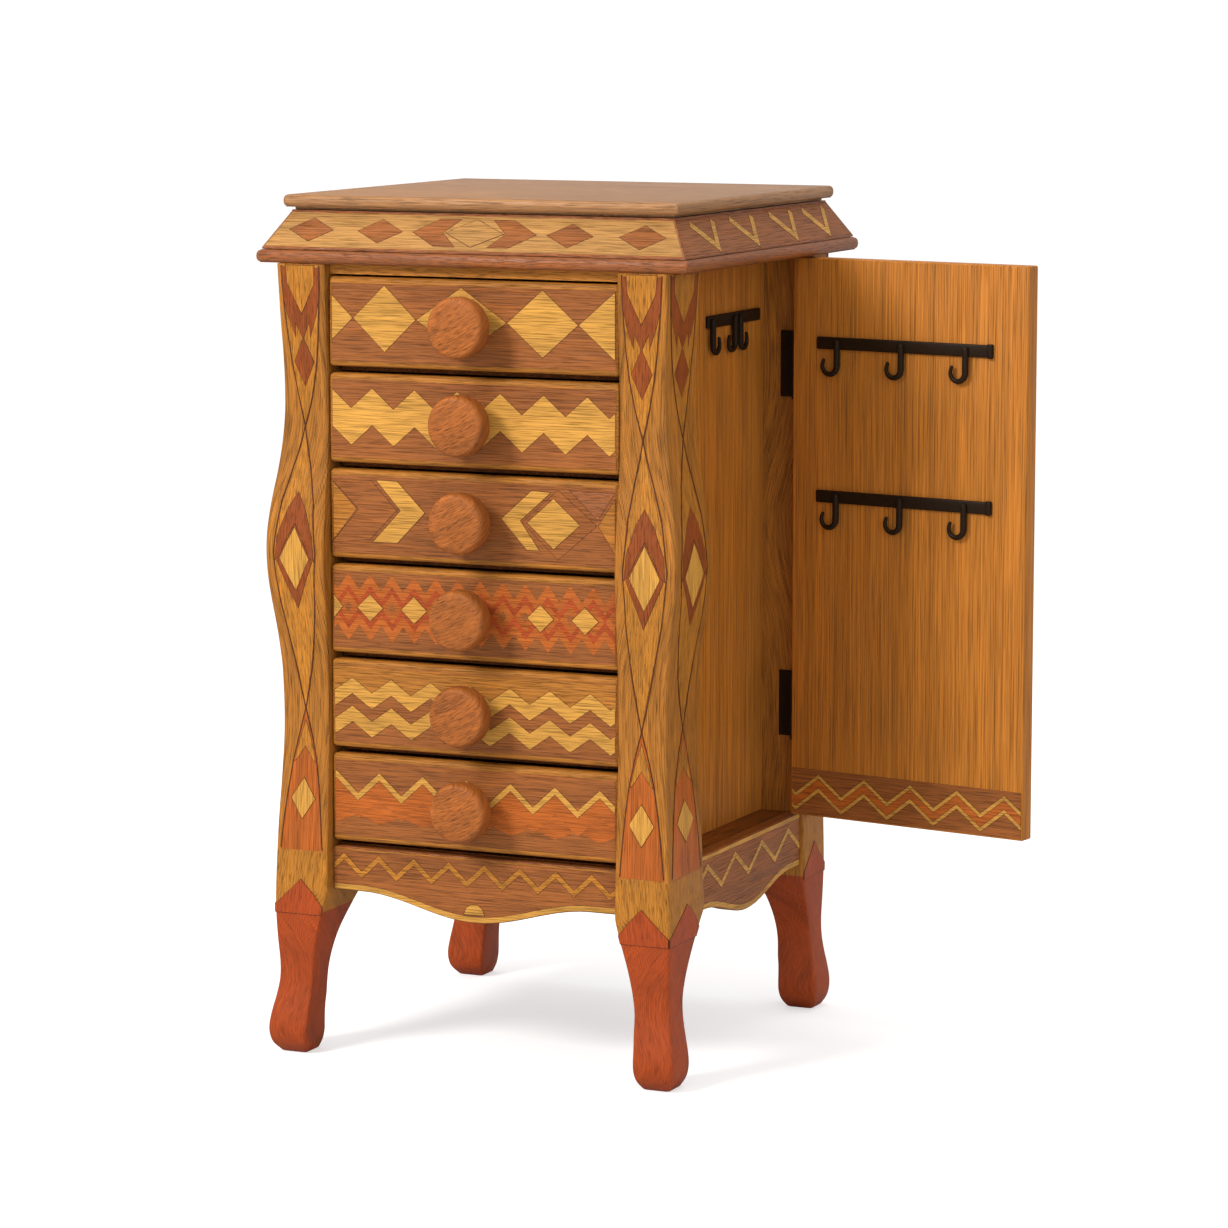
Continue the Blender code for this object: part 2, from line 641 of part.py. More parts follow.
def build():
    root = add_empty("chest", (0.0, 0.0, 0.0))
    lid_pin = (0.0, 0.1024, 0.4234)
    lid = add_empty("lid_hinge_axis", lid_pin, root)
    build_posts(root)
    build_aprons(root)
    build_carcass(root)
    build_top(root)
    build_lid(lid)
    build_lid_hinge(root, lid, lid_pin)
    build_drawers(root)
    for side, word in ((1, "right"), (-1, "left")):
        pin = add_empty(
            f"door_{word}_axis", (side * DOOR_PIN[0], DOOR_PIN[1], 0.0), root)
        build_door(side, word, pin)
        build_door_hinges(side, word, root, pin)
        build_hook_rails(side, word, root, pin)
        if side > 0:
            pin.rotation_euler.z = RIGHT_DOOR_OPEN
    put_origin_under_box(root)


clear_scene()
parts = new_collection("jewelry_chest")
cutters = new_collection("cutters")
build()
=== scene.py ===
"""Jewelry chest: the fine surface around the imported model. Inlaid veneers, turned knobs, hooks."""

import json
import math
import random

import bmesh
import bpy
from bpy.props import (
    FloatProperty, FloatVectorProperty, IntProperty, PointerProperty)
from mathutils import Matrix, Vector


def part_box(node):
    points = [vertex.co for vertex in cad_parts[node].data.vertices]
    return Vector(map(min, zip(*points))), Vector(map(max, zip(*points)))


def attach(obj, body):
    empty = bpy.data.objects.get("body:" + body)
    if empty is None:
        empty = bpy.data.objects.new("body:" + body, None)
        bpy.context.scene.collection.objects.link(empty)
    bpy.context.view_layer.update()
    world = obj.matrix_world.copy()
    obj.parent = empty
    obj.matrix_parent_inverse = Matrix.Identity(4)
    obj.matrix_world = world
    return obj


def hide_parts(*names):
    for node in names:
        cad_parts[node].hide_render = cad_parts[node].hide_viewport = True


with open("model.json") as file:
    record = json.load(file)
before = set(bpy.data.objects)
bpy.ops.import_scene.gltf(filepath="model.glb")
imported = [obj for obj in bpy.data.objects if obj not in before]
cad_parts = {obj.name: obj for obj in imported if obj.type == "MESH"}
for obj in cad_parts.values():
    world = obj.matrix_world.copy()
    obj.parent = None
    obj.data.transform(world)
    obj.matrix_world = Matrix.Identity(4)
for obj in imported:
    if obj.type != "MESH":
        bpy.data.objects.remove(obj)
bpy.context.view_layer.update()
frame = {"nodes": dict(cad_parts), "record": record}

bl_info = {
    "name": "Inlaid Jewelry Chest",
    "version": (1, 0, 0),
    "blender": (4, 5, 0),
    "location": "View3D > Sidebar > Jewelry Chest",
    "description": "Builds the veneers, turnings, ironwork and finishes of a small jewelry chest",
    "category": "Object",
}

# ---------------------------------------------------------------- places, from the frame
# All shapes below are worked out in millimetres about the cabinet's own centre.
MM = 0.001
JOINTS = {joint["name"]: joint for joint in frame["record"]["behaviour"]["joints"]}


def centre_of(node):
    low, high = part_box(node)
    return (Vector(low) + Vector(high)) / 2


CABINET = Vector((centre_of("cornice").x, centre_of("cornice").y, 0.0))


def extent(node):
    """Lowest and highest corner of a node at rest, in millimetres about the cabinet's centre."""
    low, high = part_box(node)
    return [(Vector(corner) - CABINET) / MM for corner in (low, high)]


def span(node, axis):
    low, high = extent(node)
    return low[axis], high[axis]


CORNICE_LOW, CORNICE_HIGH = extent("cornice")
LID_LOW, LID_HIGH = extent("lid_panel")
FRIEZE_LOW, FRIEZE_HIGH = extent("frieze_frame")
POST_TOP = span("post_front_left", 2)[1]
FRONT = {n: extent(f"drawer_front_{n}") for n in range(1, 7)}
FACE_HALF = FRONT[1][1].x
DOOR_Z = span("door_left", 2)
DOOR_X = tuple(-value for value in reversed(span("door_left", 0)))
DOOR_Y = span("door_left", 1)
PIN = {word: (Vector(JOINTS[f"door_{word}_hinge"]["pos_m"]) - CABINET) / MM
       for word in ("right", "left")}
RIGHT_DOOR_OPEN = -math.radians(JOINTS["door_right_hinge"]["range_deg"][0])


# ---------------------------------------------------------------- sizes and colours to change
def colour(name, words, value):
    """A colour as it looks on the screen, 0 to 1."""
    return FloatVectorProperty(
        name=name, description=words, default=value, size=3, min=0.0, max=1.0,
        subtype="COLOR_GAMMA")


def length(name, words, value):
    return FloatProperty(name=name, description=words, default=value, unit="LENGTH")


class ChestSizes(bpy.types.PropertyGroup):
    ground: length("Ground veneer", "How far a ground veneer stands proud", 0.00016)
    step: length("Inlay step", "How much higher each layer of inlay lies", 0.00012)
    line: length("Dark line", "Width of the dark line round an inlaid piece", 0.00024)
    corner: length("Post corner", "Radius of the posts' corners", 0.0016)
    edge: length("Drawer edge", "Radius of the drawer fronts' edges", 0.0019)
    door_band: length("Door band", "Height of the inlaid band on a door", 0.0235)
    screw: length("Screw head", "Radius of a hinge screw's head", 0.0013)
    rolls: IntProperty(
        name="Ring rolls", description="Velvet rolls in the ring cushion", default=12, min=2)


class ChestColours(bpy.types.PropertyGroup):
    golden: colour("Golden veneer", "Light golden inlay", (0.855, 0.615, 0.262))
    brown: colour("Brown veneer", "Brown ground of the drawers", (0.65, 0.375, 0.165))
    terracotta: colour("Terracotta", "Red-brown legs and inlay", (0.70, 0.29, 0.10))
    orange: colour("Orange veneer", "Orange-brown inlay", (0.775, 0.40, 0.13))
    border: colour("Border wood", "Light brown margins", (0.775, 0.49, 0.17))
    edge: colour("Edge wood", "Cornice and aprons", (0.64, 0.345, 0.10))
    lid: colour("Lid wood", "Lid and its rim", (0.69, 0.475, 0.265))
    post: colour("Post veneer", "Light fields of the posts", (0.78, 0.50, 0.16))
    rust: colour("Rust veneer", "Dark points in the posts", (0.60, 0.29, 0.095))
    frieze: colour("Frieze veneer", "Light field around the tray", (0.75, 0.54, 0.285))
    panel: colour("Panel wood", "Doors and inner panels", (0.835, 0.515, 0.175))
    line: colour("Line", "Dark line between veneers", (0.38, 0.19, 0.075))
    knob: colour("Knob wood", "Turned knobs", (0.74, 0.415, 0.165))
    iron: colour("Black iron", "Hooks and hinges", (0.13, 0.085, 0.045))
    velvet: colour("Velvet", "Ring cushion and linings", (0.42, 0.08, 0.12))


# ---------------------------------------------------------------- finishes
def linear(rgb, scale=1.0):
    """A screen colour made linear, for a shader's socket."""
    turned = []
    for value in rgb:
        value = min(value * scale, 1.0)
        turned.append(value / 12.92 if value <= 0.04045 else ((value + 0.055) / 1.055) ** 2.4)
    return (*turned, 1.0)


class Nodes:
    """Short hand for building a node tree."""

    def __init__(self, tree):
        self.tree = tree

    def add(self, kind, inputs=None, **settings):
        node = self.tree.nodes.new(kind)
        for key, value in settings.items():
            setattr(node, key, value)
        for key, value in (inputs or {}).items():
            socket = node.inputs[key]
            if isinstance(value, bpy.types.NodeSocket):
                self.tree.links.new(value, socket)
            else:
                socket.default_value = value
        return node

    def math(self, operation, first, second=0.0, clamp=False):
        node = self.add("ShaderNodeMath", {0: first, 1: second}, operation=operation,
                        use_clamp=clamp)
        return node.outputs[0]

    def link(self, source, target):
        self.tree.links.new(source, target)


def new_group(name, kind, inputs, outputs):
    """A node group with named sockets; each input is (name, type, default)."""
    tree = bpy.data.node_groups.new(name, kind)
    for title, socket_type, default in inputs:
        socket = tree.interface.new_socket(
            name=title, in_out="INPUT", socket_type="NodeSocket" + socket_type)
        if default is not None:
            socket.default_value = default
    for title, socket_type in outputs:
        tree.interface.new_socket(
            name=title, in_out="OUTPUT", socket_type="NodeSocket" + socket_type)
    made = Nodes(tree)
    return made, made.add("NodeGroupInput"), made.add("NodeGroupOutput")


def stretched(made, vector, along, across):
    """The vector with its first axis and its other axes scaled for noise."""
    scale = made.add("ShaderNodeVectorMath", {0: vector, 1: (along, across, across)},
                     operation="MULTIPLY")
    return scale.outputs[0]


def wood_group():
    """Grain that runs along the vector's first axis: broad figure, fine fibres and dark pores."""
    made, given, out = new_group("wood_grain", "ShaderNodeTree", [
        ("Vector", "Vector", None), ("Light", "Color", None), ("Dark", "Color", None),
        ("Coarseness", "Float", 1.0), ("Length", "Float", 1.0), ("Pores", "Float", 0.5),
        ("Age", "Float", 0.3),
    ], [("Color", "Color"), ("Roughness", "Float"), ("Height", "Float")])
    split = made.add("ShaderNodeSeparateXYZ", {0: given.outputs["Vector"]})
    drawn_out = made.add("ShaderNodeCombineXYZ", {
        "X": made.math("DIVIDE", split.outputs["X"], given.outputs["Length"]),
        "Y": split.outputs["Y"], "Z": split.outputs["Z"]})
    scaled = made.add("ShaderNodeVectorMath", {0: drawn_out.outputs[0]}, operation="SCALE")
    made.link(given.outputs["Coarseness"], scaled.inputs["Scale"])
    vector = scaled.outputs[0]

    def noise(along, across, detail, distortion=0.0):
        node = made.add(
            "ShaderNodeTexNoise",
            {"Vector": stretched(made, vector, along, across), "Scale": 1.0, "Detail": detail,
             "Roughness": 0.55, "Distortion": distortion})
        return node.outputs[0]

    figure = noise(9.0, 120.0, 3.0, 0.9)
    fibre = noise(55.0, 1300.0, 3.0, 0.3)
    pore = noise(130.0, 2300.0, 2.0)
    blotch = noise(22.0, 30.0, 2.0)
    blend = made.math("MULTIPLY_ADD", figure, 0.9, clamp=False)
    made.tree.nodes[-1].inputs[2].default_value = -0.05
    mixed = made.math("ADD", blend, made.math("MULTIPLY", made.math("SUBTRACT", fibre, 0.5), 1.3),
                      clamp=True)
    base = made.add("ShaderNodeMix", {"Factor": mixed}, data_type="RGBA")
    made.link(given.outputs["Dark"], base.inputs[6])
    made.link(given.outputs["Light"], base.inputs[7])
    streak = made.add("ShaderNodeMapRange", {
        "Value": pore, "From Min": 0.53, "From Max": 0.66, "To Min": 0.0, "To Max": 1.0})
    dark = made.math("MULTIPLY", streak.outputs[0], given.outputs["Pores"])
    aged = made.math("MULTIPLY", made.math("SUBTRACT", blotch, 0.42), given.outputs["Age"])
    shade = made.math("SUBTRACT", made.math("SUBTRACT", 1.0, dark), aged)
    toned = made.add("ShaderNodeVectorMath", {0: base.outputs[2]}, operation="SCALE")
    made.link(shade, toned.inputs["Scale"])
    made.link(toned.outputs[0], out.inputs["Color"])
    rough = made.math("MULTIPLY_ADD", fibre, 0.30)
    made.tree.nodes[-1].inputs[2].default_value = 0.34
    made.link(rough, out.inputs["Roughness"])
    height = made.math("SUBTRACT", fibre, made.math("MULTIPLY", streak.outputs[0], 0.6))
    made.link(height, out.inputs["Height"])
    return made.tree


def speck_group():
    """Small uneven patches for metal, velvet, glass and the floor: a mask from 0 to 1."""
    made, given, out = new_group("specks", "ShaderNodeTree", [
        ("Vector", "Vector", None), ("Scale", "Float", 400.0), ("Low", "Float", 0.3),
        ("High", "Float", 0.7)], [("Mask", "Float")])
    noise = made.add("ShaderNodeTexNoise", {
        "Vector": given.outputs["Vector"], "Scale": given.outputs["Scale"], "Detail": 5.0,
        "Roughness": 0.6})
    ranged = made.add("ShaderNodeMapRange", {
        "Value": noise.outputs[0], "From Min": 0.3, "From Max": 0.7,
        "To Min": given.outputs["Low"], "To Max": given.outputs["High"]})
    made.link(ranged.outputs[0], out.inputs["Mask"])
    return made.tree


def shader_of(material):
    return material.node_tree.nodes["Principled BSDF"]


def new_material(name, shown):
    material = bpy.data.materials.new(name)
    material.use_nodes = True
    material.diffuse_color = linear(shown)
    return material, Nodes(material.node_tree), shader_of(material)


def add_bump(made, shader, height, strength, distance):
    bump = made.add("ShaderNodeBump", {"Height": height, "Strength": strength,
                                       "Distance": distance})
    made.link(bump.outputs["Normal"], shader.inputs["Normal"])


def wood(name, rgb, depth=0.62, coarseness=1.0, pores=0.45, age=0.35, turn=None, shine=0.2,
         length=1.0):
    """A wood finish. It reads the piece's own grain map, or its place where turn is given."""
    material, made, shader = new_material(name, rgb)
    if turn is None:
        source = made.add("ShaderNodeUVMap", uv_map="grain").outputs["UV"]
    else:
        place = made.add("ShaderNodeTexCoord").outputs["Object"]
        source = made.add(
            "ShaderNodeMapping", {"Vector": place, "Rotation": turn}).outputs["Vector"]
    grain = made.add("ShaderNodeGroup", node_tree=bpy.data.node_groups["wood_grain"])
    made.link(source, grain.inputs["Vector"])
    grain.inputs["Light"].default_value = linear(rgb, 1.06)
    grain.inputs["Dark"].default_value = linear(rgb, depth)
    grain.inputs["Coarseness"].default_value = coarseness
    grain.inputs["Length"].default_value = length
    grain.inputs["Pores"].default_value = pores
    grain.inputs["Age"].default_value = age
    made.link(grain.outputs["Color"], shader.inputs["Base Color"])
    made.link(grain.outputs["Roughness"], shader.inputs["Roughness"])
    shader.inputs["Specular IOR Level"].default_value = shine
    add_bump(made, shader, grain.outputs["Height"], 0.9, 0.0003)
    return material


def iron_finish(rgb):
    material, made, shader = new_material("forged_iron", rgb)
    place = made.add("ShaderNodeTexCoord").outputs["Object"]
    specks = made.add("ShaderNodeGroup", node_tree=bpy.data.node_groups["specks"])
    made.link(place, specks.inputs["Vector"])
    specks.inputs["Scale"].default_value = 700.0
    specks.inputs["Low"].default_value = 0.32
    specks.inputs["High"].default_value = 0.55
    made.link(specks.outputs["Mask"], shader.inputs["Roughness"])
    tone = made.add("ShaderNodeMix", {"Factor": specks.outputs["Mask"]}, data_type="RGBA")
    tone.inputs[6].default_value = linear(rgb, 0.7)
    tone.inputs[7].default_value = linear(rgb, 1.35)
    made.link(tone.outputs[2], shader.inputs["Base Color"])
    shader.inputs["Metallic"].default_value = 0.0
    shader.inputs["Specular IOR Level"].default_value = 0.1
    add_bump(made, shader, specks.outputs["Mask"], 0.25, 0.0001)
    return material


def velvet_finish(rgb):
    material, made, shader = new_material("wine_velvet", rgb)
    place = made.add("ShaderNodeTexCoord").outputs["Object"]
    specks = made.add("ShaderNodeGroup", node_tree=bpy.data.node_groups["specks"])
    made.link(place, specks.inputs["Vector"])
    specks.inputs["Scale"].default_value = 1500.0
    specks.inputs["Low"].default_value = 0.0
    specks.inputs["High"].default_value = 1.0
    tone = made.add("ShaderNodeMix", {"Factor": specks.outputs["Mask"]}, data_type="RGBA")
    tone.inputs[6].default_value = linear(rgb, 0.7)
    tone.inputs[7].default_value = linear(rgb, 1.2)
    made.link(tone.outputs[2], shader.inputs["Base Color"])
    shader.inputs["Roughness"].default_value = 0.9
    shader.inputs["Sheen Weight"].default_value = 0.6
    shader.inputs["Sheen Roughness"].default_value = 0.4
    add_bump(made, shader, specks.outputs["Mask"], 0.5, 0.0003)
    return material


def mirror_finish():
    material, made, shader = new_material("mirror", (0.9, 0.92, 0.93))
    place = made.add("ShaderNodeTexCoord").outputs["Object"]
    specks = made.add("ShaderNodeGroup", node_tree=bpy.data.node_groups["specks"])
    made.link(place, specks.inputs["Vector"])
    specks.inputs["Scale"].default_value = 14.0
    specks.inputs["Low"].default_value = 0.015
    specks.inputs["High"].default_value = 0.06
    made.link(specks.outputs["Mask"], shader.inputs["Roughness"])
    shader.inputs["Base Color"].default_value = (0.86, 0.88, 0.89, 1.0)
    shader.inputs["Metallic"].default_value = 1.0
    return material


class CHEST_OT_finishes(bpy.types.Operator):
    """Make the woods, iron, velvet and mirror"""
    bl_idname = "chest.finishes"
    bl_label = "Finishes"

    def execute(self, context):
        tones = context.scene.chest_colours
        wood_group()
        speck_group()
        wood("golden", tones.golden, depth=0.76, pores=0.45, age=0.25, length=2.6)
        wood("brown", tones.brown, depth=0.70, pores=0.42, length=2.6)
        wood("terracotta", tones.terracotta, depth=0.78, pores=0.25, age=0.5)
        wood("orange", tones.orange, depth=0.72, pores=0.35, age=0.6, length=2.6)
        wood("border", tones.border, depth=0.62, pores=0.5, length=2.0)
        wood("edge", tones.edge, depth=0.66, pores=0.5, shine=0.45)
        wood("panel", tones.panel, depth=0.66, coarseness=0.8, pores=0.40, length=5.0)
        wood("line", tones.line, depth=0.7, pores=0.2)
        wood("knob", tones.knob, depth=0.66, coarseness=1.5, pores=0.5)
        wood("post_light", tones.post, depth=0.70, pores=0.5, age=0.3)
        wood("rust", tones.rust, depth=0.74, pores=0.3, age=0.4)
        wood("frieze_gold", tones.frieze, depth=0.76, pores=0.4, age=0.25, length=2.6)
        wood("lid_wood", tones.lid, depth=0.72, pores=0.45, shine=0.5, length=2.0)
        upright = (0.0, math.radians(90), 0.0)
        wood("panel_upright", tones.panel, depth=0.66, coarseness=0.8, pores=0.40,
             turn=upright, length=5.0)
        wood("plain_across", tones.border, depth=0.75, turn=(0.0, 0.0, 0.0))
        wood("plain_deep", tones.panel, depth=0.8, turn=(0.0, 0.0, math.radians(90)))
        wood("dark_board", tones.edge[:], depth=0.45, turn=(0.0, 0.0, math.radians(90)))
        iron_finish(tones.iron)
        velvet_finish(tones.velvet)
        mirror_finish()
        return {"FINISHED"}


# ---------------------------------------------------------------- meshes
WOODS = ("golden", "brown", "terracotta", "orange", "border", "edge", "panel", "line", "knob",
         "lid_wood", "post_light", "rust", "frieze_gold")


def new_piece(name, bm, body, woods=WOODS, replaced=(), placed=None, smooth=30):
    """An object at the origin with its place in its mesh, riding on a body.

    The mesh is in millimetres about the cabinet's centre. placed, a matrix, moves it from
    the closed chest to where it is at rest.
    """
    if placed is not None:
        bmesh.ops.transform(bm, matrix=placed, verts=bm.verts[:])
    to_world = Matrix.Translation(CABINET) @ Matrix.Scale(MM, 4)
    bmesh.ops.transform(bm, matrix=to_world, verts=bm.verts[:])
    mesh = bpy.data.meshes.new(name)
    bm.to_mesh(mesh)
    bm.free()
    for finish in woods:
        mesh.materials.append(bpy.data.materials[finish])
    mesh.shade_smooth()
    mesh.set_sharp_from_angle(angle=math.radians(smooth))
    piece = bpy.data.objects.new(name, mesh)
    bpy.context.scene.collection.objects.link(piece)
    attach(piece, body)
    if replaced:
        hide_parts(*replaced)
    return piece


def grain_layer(bm):
    return bm.loops.layers.uv.get("grain") or bm.loops.layers.uv.new("grain")


def map_grain(bm, faces, along, shift=(0.0, 0.0)):
    """Lays the grain map flat on each face, with its first axis along the given axis."""
    layer = grain_layer(bm)
    along = Vector(along).normalized()
    for face in faces:
        normal = face.normal
        first = along - normal * along.dot(normal)
        if first.length < 0.2:
            first = normal.orthogonal()
        first.normalize()
        second = normal.cross(first)
        for loop in face.loops:
            place = loop.vert.co
            loop[layer].uv = (place.dot(first) * MM + shift[0], place.dot(second) * MM + shift[1])


def wood_index(name):
    return WOODS.index(name)


def board(bm, low, high, radius, finish, along, segments=3, shift=(0.0, 0.0)):
    """A board with rounded edges, added to the mesh."""
    made = bmesh.ops.create_cube(bm, size=1.0)["verts"]
    for vert in made:
        for axis in range(3):
            vert.co[axis] = high[axis] if vert.co[axis] > 0 else low[axis]
    edges = list({edge for vert in made for edge in vert.link_edges})
    faces = list({face for vert in made for face in vert.link_faces})
    if radius:
        result = bmesh.ops.bevel(bm, geom=edges, offset=radius, segments=segments, profile=0.5,
                                 affect="EDGES", clamp_overlap=True)
        faces = list({face for vert in result["verts"] for face in vert.link_faces}
                     | {face for face in faces if face.is_valid})
    for face in faces:
        face.material_index = wood_index(finish)
    bm.normal_update()
    map_grain(bm, faces, along, shift)
    return faces


# ---------------------------------------------------------------- inlay
def offset_outline(points, inward):
    """The outline moved inward by a distance, or outward if it is negative."""
    moved = []
    count = len(points)
    for i, (x, y) in enumerate(points):
        before = Vector(points[i - 1]) - Vector((x, y))
        after = Vector(points[(i + 1) % count]) - Vector((x, y))
        if before.length < 1e-6 or after.length < 1e-6:
            continue
        before.normalize()
        after.normalize()
        inner = Vector((-after.y, after.x)) - Vector((-before.y, before.x))
        if inner.length < 1e-6:
            inner = Vector((-after.y, after.x))
        inner.normalize()
        sine = max(abs(after.x * inner.y - after.y * inner.x), 0.3)
        moved.append((x + inner.x * inward / sine, y + inner.y * inward / sine))
    return moved


def counter_clockwise(points):
    area = sum(points[i - 1][0] * points[i][1] - points[i][0] * points[i - 1][1]
               for i in range(len(points)))
    return list(points) if area > 0 else list(reversed(points))


class Inlay:
    """Thin veneers laid on a face. The face is mapped by a function of (across, up, out)."""

    def __init__(self, seed, along="across"):
        self.bm = bmesh.new()
        self.random = random.Random(seed)
        self.along = along
        self.layer = grain_layer(self.bm)
        sizes = bpy.context.scene.chest_sizes
        self.ground = sizes.ground / MM
        self.step = sizes.step / MM
        self.line = sizes.line / MM

    def map_faces(self, faces, finish):
        shift = (self.random.random(), self.random.random())
        for face in faces:
            face.material_index = wood_index(finish)
            for loop in face.loops:
                across, up = loop.vert.co.x * MM, loop.vert.co.y * MM
                pair = (across, up) if self.along == "across" else (up, across)
                loop[self.layer].uv = (pair[0] + shift[0], pair[1] + shift[1])

    def plate(self, points, finish, bottom, top, chamfer=0.05):
        """One closed plate with a small chamfer round its top."""
        points = counter_clockwise(points)
        rings = []
        for inward, out in ((0.0, bottom), (0.0, top - chamfer), (chamfer, top)):
            outline = offset_outline(points, inward) if inward else points
            rings.append([self.bm.verts.new((x, y, out)) for x, y in outline])
        faces = [self.bm.faces.new(list(reversed(rings[0]))), self.bm.faces.new(rings[2])]
        for lower, upper in zip(rings, rings[1:]):
            for i in range(len(lower)):
                faces.append(self.bm.faces.new(
                    (lower[i - 1], lower[i], upper[i], upper[i - 1])))
        self.map_faces(faces, finish)
        return faces

    def field(self, points, finish):
        """A ground veneer."""
        self.plate(points, finish, -0.3, self.ground)

    def motif(self, points, finish, level=1):
        """A veneer let in on top of the ground, with a dark line round it."""
        points = counter_clockwise(points)
        top = self.ground + self.step * level
        self.plate(offset_outline(points, -self.line), "line", -0.2, top - self.step * 0.45, 0.02)
        self.plate(points, finish, -0.2, top)

    def stroke(self, path, width, finish, level=1):
        """A strip of even width along a path."""
        left, right = [], []
        for i, point in enumerate(path):
            point = Vector(point)
            ahead = Vector(path[min(i + 1, len(path) - 1)]) - point
            behind = point - Vector(path[max(i - 1, 0)])
            forward = (ahead.normalized() + behind.normalized()).normalized()
            side = Vector((-forward.y, forward.x))
            spread = width / 2
            if 0 < i < len(path) - 1:
                spread /= max(side.dot(Vector((-ahead.y, ahead.x)).normalized()), 0.35)
            left.append(tuple(point + side * spread))
            right.append(tuple(point - side * spread))
        outline = left + right[::-1]
        if finish == "line":
            self.plate(counter_clockwise(outline), finish, -0.2,
                       self.ground + self.step * level, 0.02)
        else:
            self.motif(outline, finish, level)

    def diamond(self, x, y, half_x, half_y, finish, level=1):
        self.motif([(x - half_x, y), (x, y - half_y), (x + half_x, y), (x, y + half_y)],
                   finish, level)

    def add_mesh(self, mesh, move, finish, level, limit):
        """Adds a flat ribbon, moved and cut off at the limits (low across, high across)."""
        strip = bmesh.new()
        strip.from_mesh(mesh)
        bpy.data.meshes.remove(mesh)
        lift = self.ground + self.step * level
        for vert in strip.verts:
            vert.co.x += move[0]
            vert.co.y += move[1]
            vert.co.z = lift if vert.co.z > 0.5 else -0.2
        for edge_at, outward in zip(limit, (-1, 1)):
            bmesh.ops.bisect_plane(
                strip, geom=strip.verts[:] + strip.edges[:] + strip.faces[:],
                plane_co=(edge_at, 0, 0), plane_no=(outward, 0, 0), clear_outer=True)
            bmesh.ops.holes_fill(
                strip, edges=[edge for edge in strip.edges if edge.is_boundary], sides=0)
        copies = {vert: self.bm.verts.new(vert.co) for vert in strip.verts}
        faces = [self.bm.faces.new([copies[vert] for vert in face.verts])
                 for face in strip.faces]
        strip.free()
        self.map_faces(faces, finish)

    def zigzag(self, middle, rise, band, finish, limit, half_pitch, peak=0.0, level=1,
               lined=True):
        """A zigzag ribbon across the face with a peak at the given place across."""
        reach = max(abs(peak - limit[0]), abs(limit[1] - peak))
        columns = 2 * (int(reach / half_pitch) + 2) + 1
        start = 1 if (columns - 1) // 2 % 2 == 0 else 0
        layers = [(self.line * 2.4, "line", level - 0.45)] if lined else []
        for extra, wood_name, height in layers + [(0.0, finish, level)]:
            mesh = ribbon_mesh(half_pitch, columns, rise, band + extra, start)
            self.add_mesh(mesh, (peak, middle), wood_name, height, limit)

    def slice_up(self, low, high, step):
        """Cuts the plates at even heights, so that they can follow a curved face."""
        for i in range(1, int((high - low) / step)):
            everything = self.bm.verts[:] + self.bm.edges[:] + self.bm.faces[:]
            bmesh.ops.bisect_plane(self.bm, geom=everything, dist=0.0005,
                                   plane_co=(0, low + i * step, 0), plane_no=(0, 1, 0))

    def finish(self, name, body, surface, placed=None, slot="marquetry_wood"):
        """Lays the plates on the surface and makes the piece."""
        for vert in self.bm.verts:
            vert.co = surface(*vert.co)
        bmesh.ops.recalc_face_normals(self.bm, faces=self.bm.faces[:])
        return new_piece(name, self.bm, body, placed=placed, smooth=20)


# ---------------------------------------------------------------- repeated pieces
def geometry_group(name, inputs):
    return new_group(name, "GeometryNodeTree", inputs, [("Geometry", "Geometry")])


def ribbon_tree():
    """A flat zigzag ribbon: a grid of two rows whose columns go up and down in turn."""
    made, given, out = geometry_group("zigzag_ribbon", [
        ("Half Pitch", "Float", 10.0), ("Columns", "Int", 10), ("Rise", "Float", 8.0),
        ("Band", "Float", 4.0), ("Start", "Int", 0), ("Finish", "Material", None)])
    spaces = made.math("SUBTRACT", given.outputs["Columns"], 1.0)
    size_x = made.math("MULTIPLY", spaces, given.outputs["Half Pitch"])
    grid = made.add("GeometryNodeMeshGrid", {
        "Size X": size_x, "Size Y": given.outputs["Band"],
        "Vertices X": given.outputs["Columns"], "Vertices Y": 2})
    index = made.add("GeometryNodeInputIndex").outputs[0]
    column = made.math("FLOOR", made.math("DIVIDE", index, 2.0))
    turn = made.math("MODULO", made.math("ADD", column, given.outputs["Start"]), 2.0)
    lift = made.math("MULTIPLY", made.math("SUBTRACT", turn, 0.5), given.outputs["Rise"])
    offset = made.add("ShaderNodeCombineXYZ", {"Y": lift})
    moved = made.add("GeometryNodeSetPosition", {
        "Geometry": grid.outputs["Mesh"], "Offset": offset.outputs[0]})
    raised = made.add("GeometryNodeExtrudeMesh", {
        "Mesh": moved.outputs[0], "Offset": (0.0, 0.0, 1.0), "Offset Scale": 1.0,
        "Individual": False})
    under = made.add("GeometryNodeFlipFaces", {"Mesh": moved.outputs[0]})
    both = made.add("GeometryNodeJoinGeometry")
    made.link(raised.outputs[0], both.inputs[0])
    made.link(under.outputs[0], both.inputs[0])
    welded = made.add("GeometryNodeMergeByDistance", {
        "Geometry": both.outputs[0], "Distance": 0.001})
    real = made.add("GeometryNodeRealizeInstances", {"Geometry": welded.outputs[0]})
    painted = made.add("GeometryNodeSetMaterial", {
        "Geometry": real.outputs[0], "Material": given.outputs["Finish"]})
    made.link(painted.outputs[0], out.inputs[0])
    return made.tree


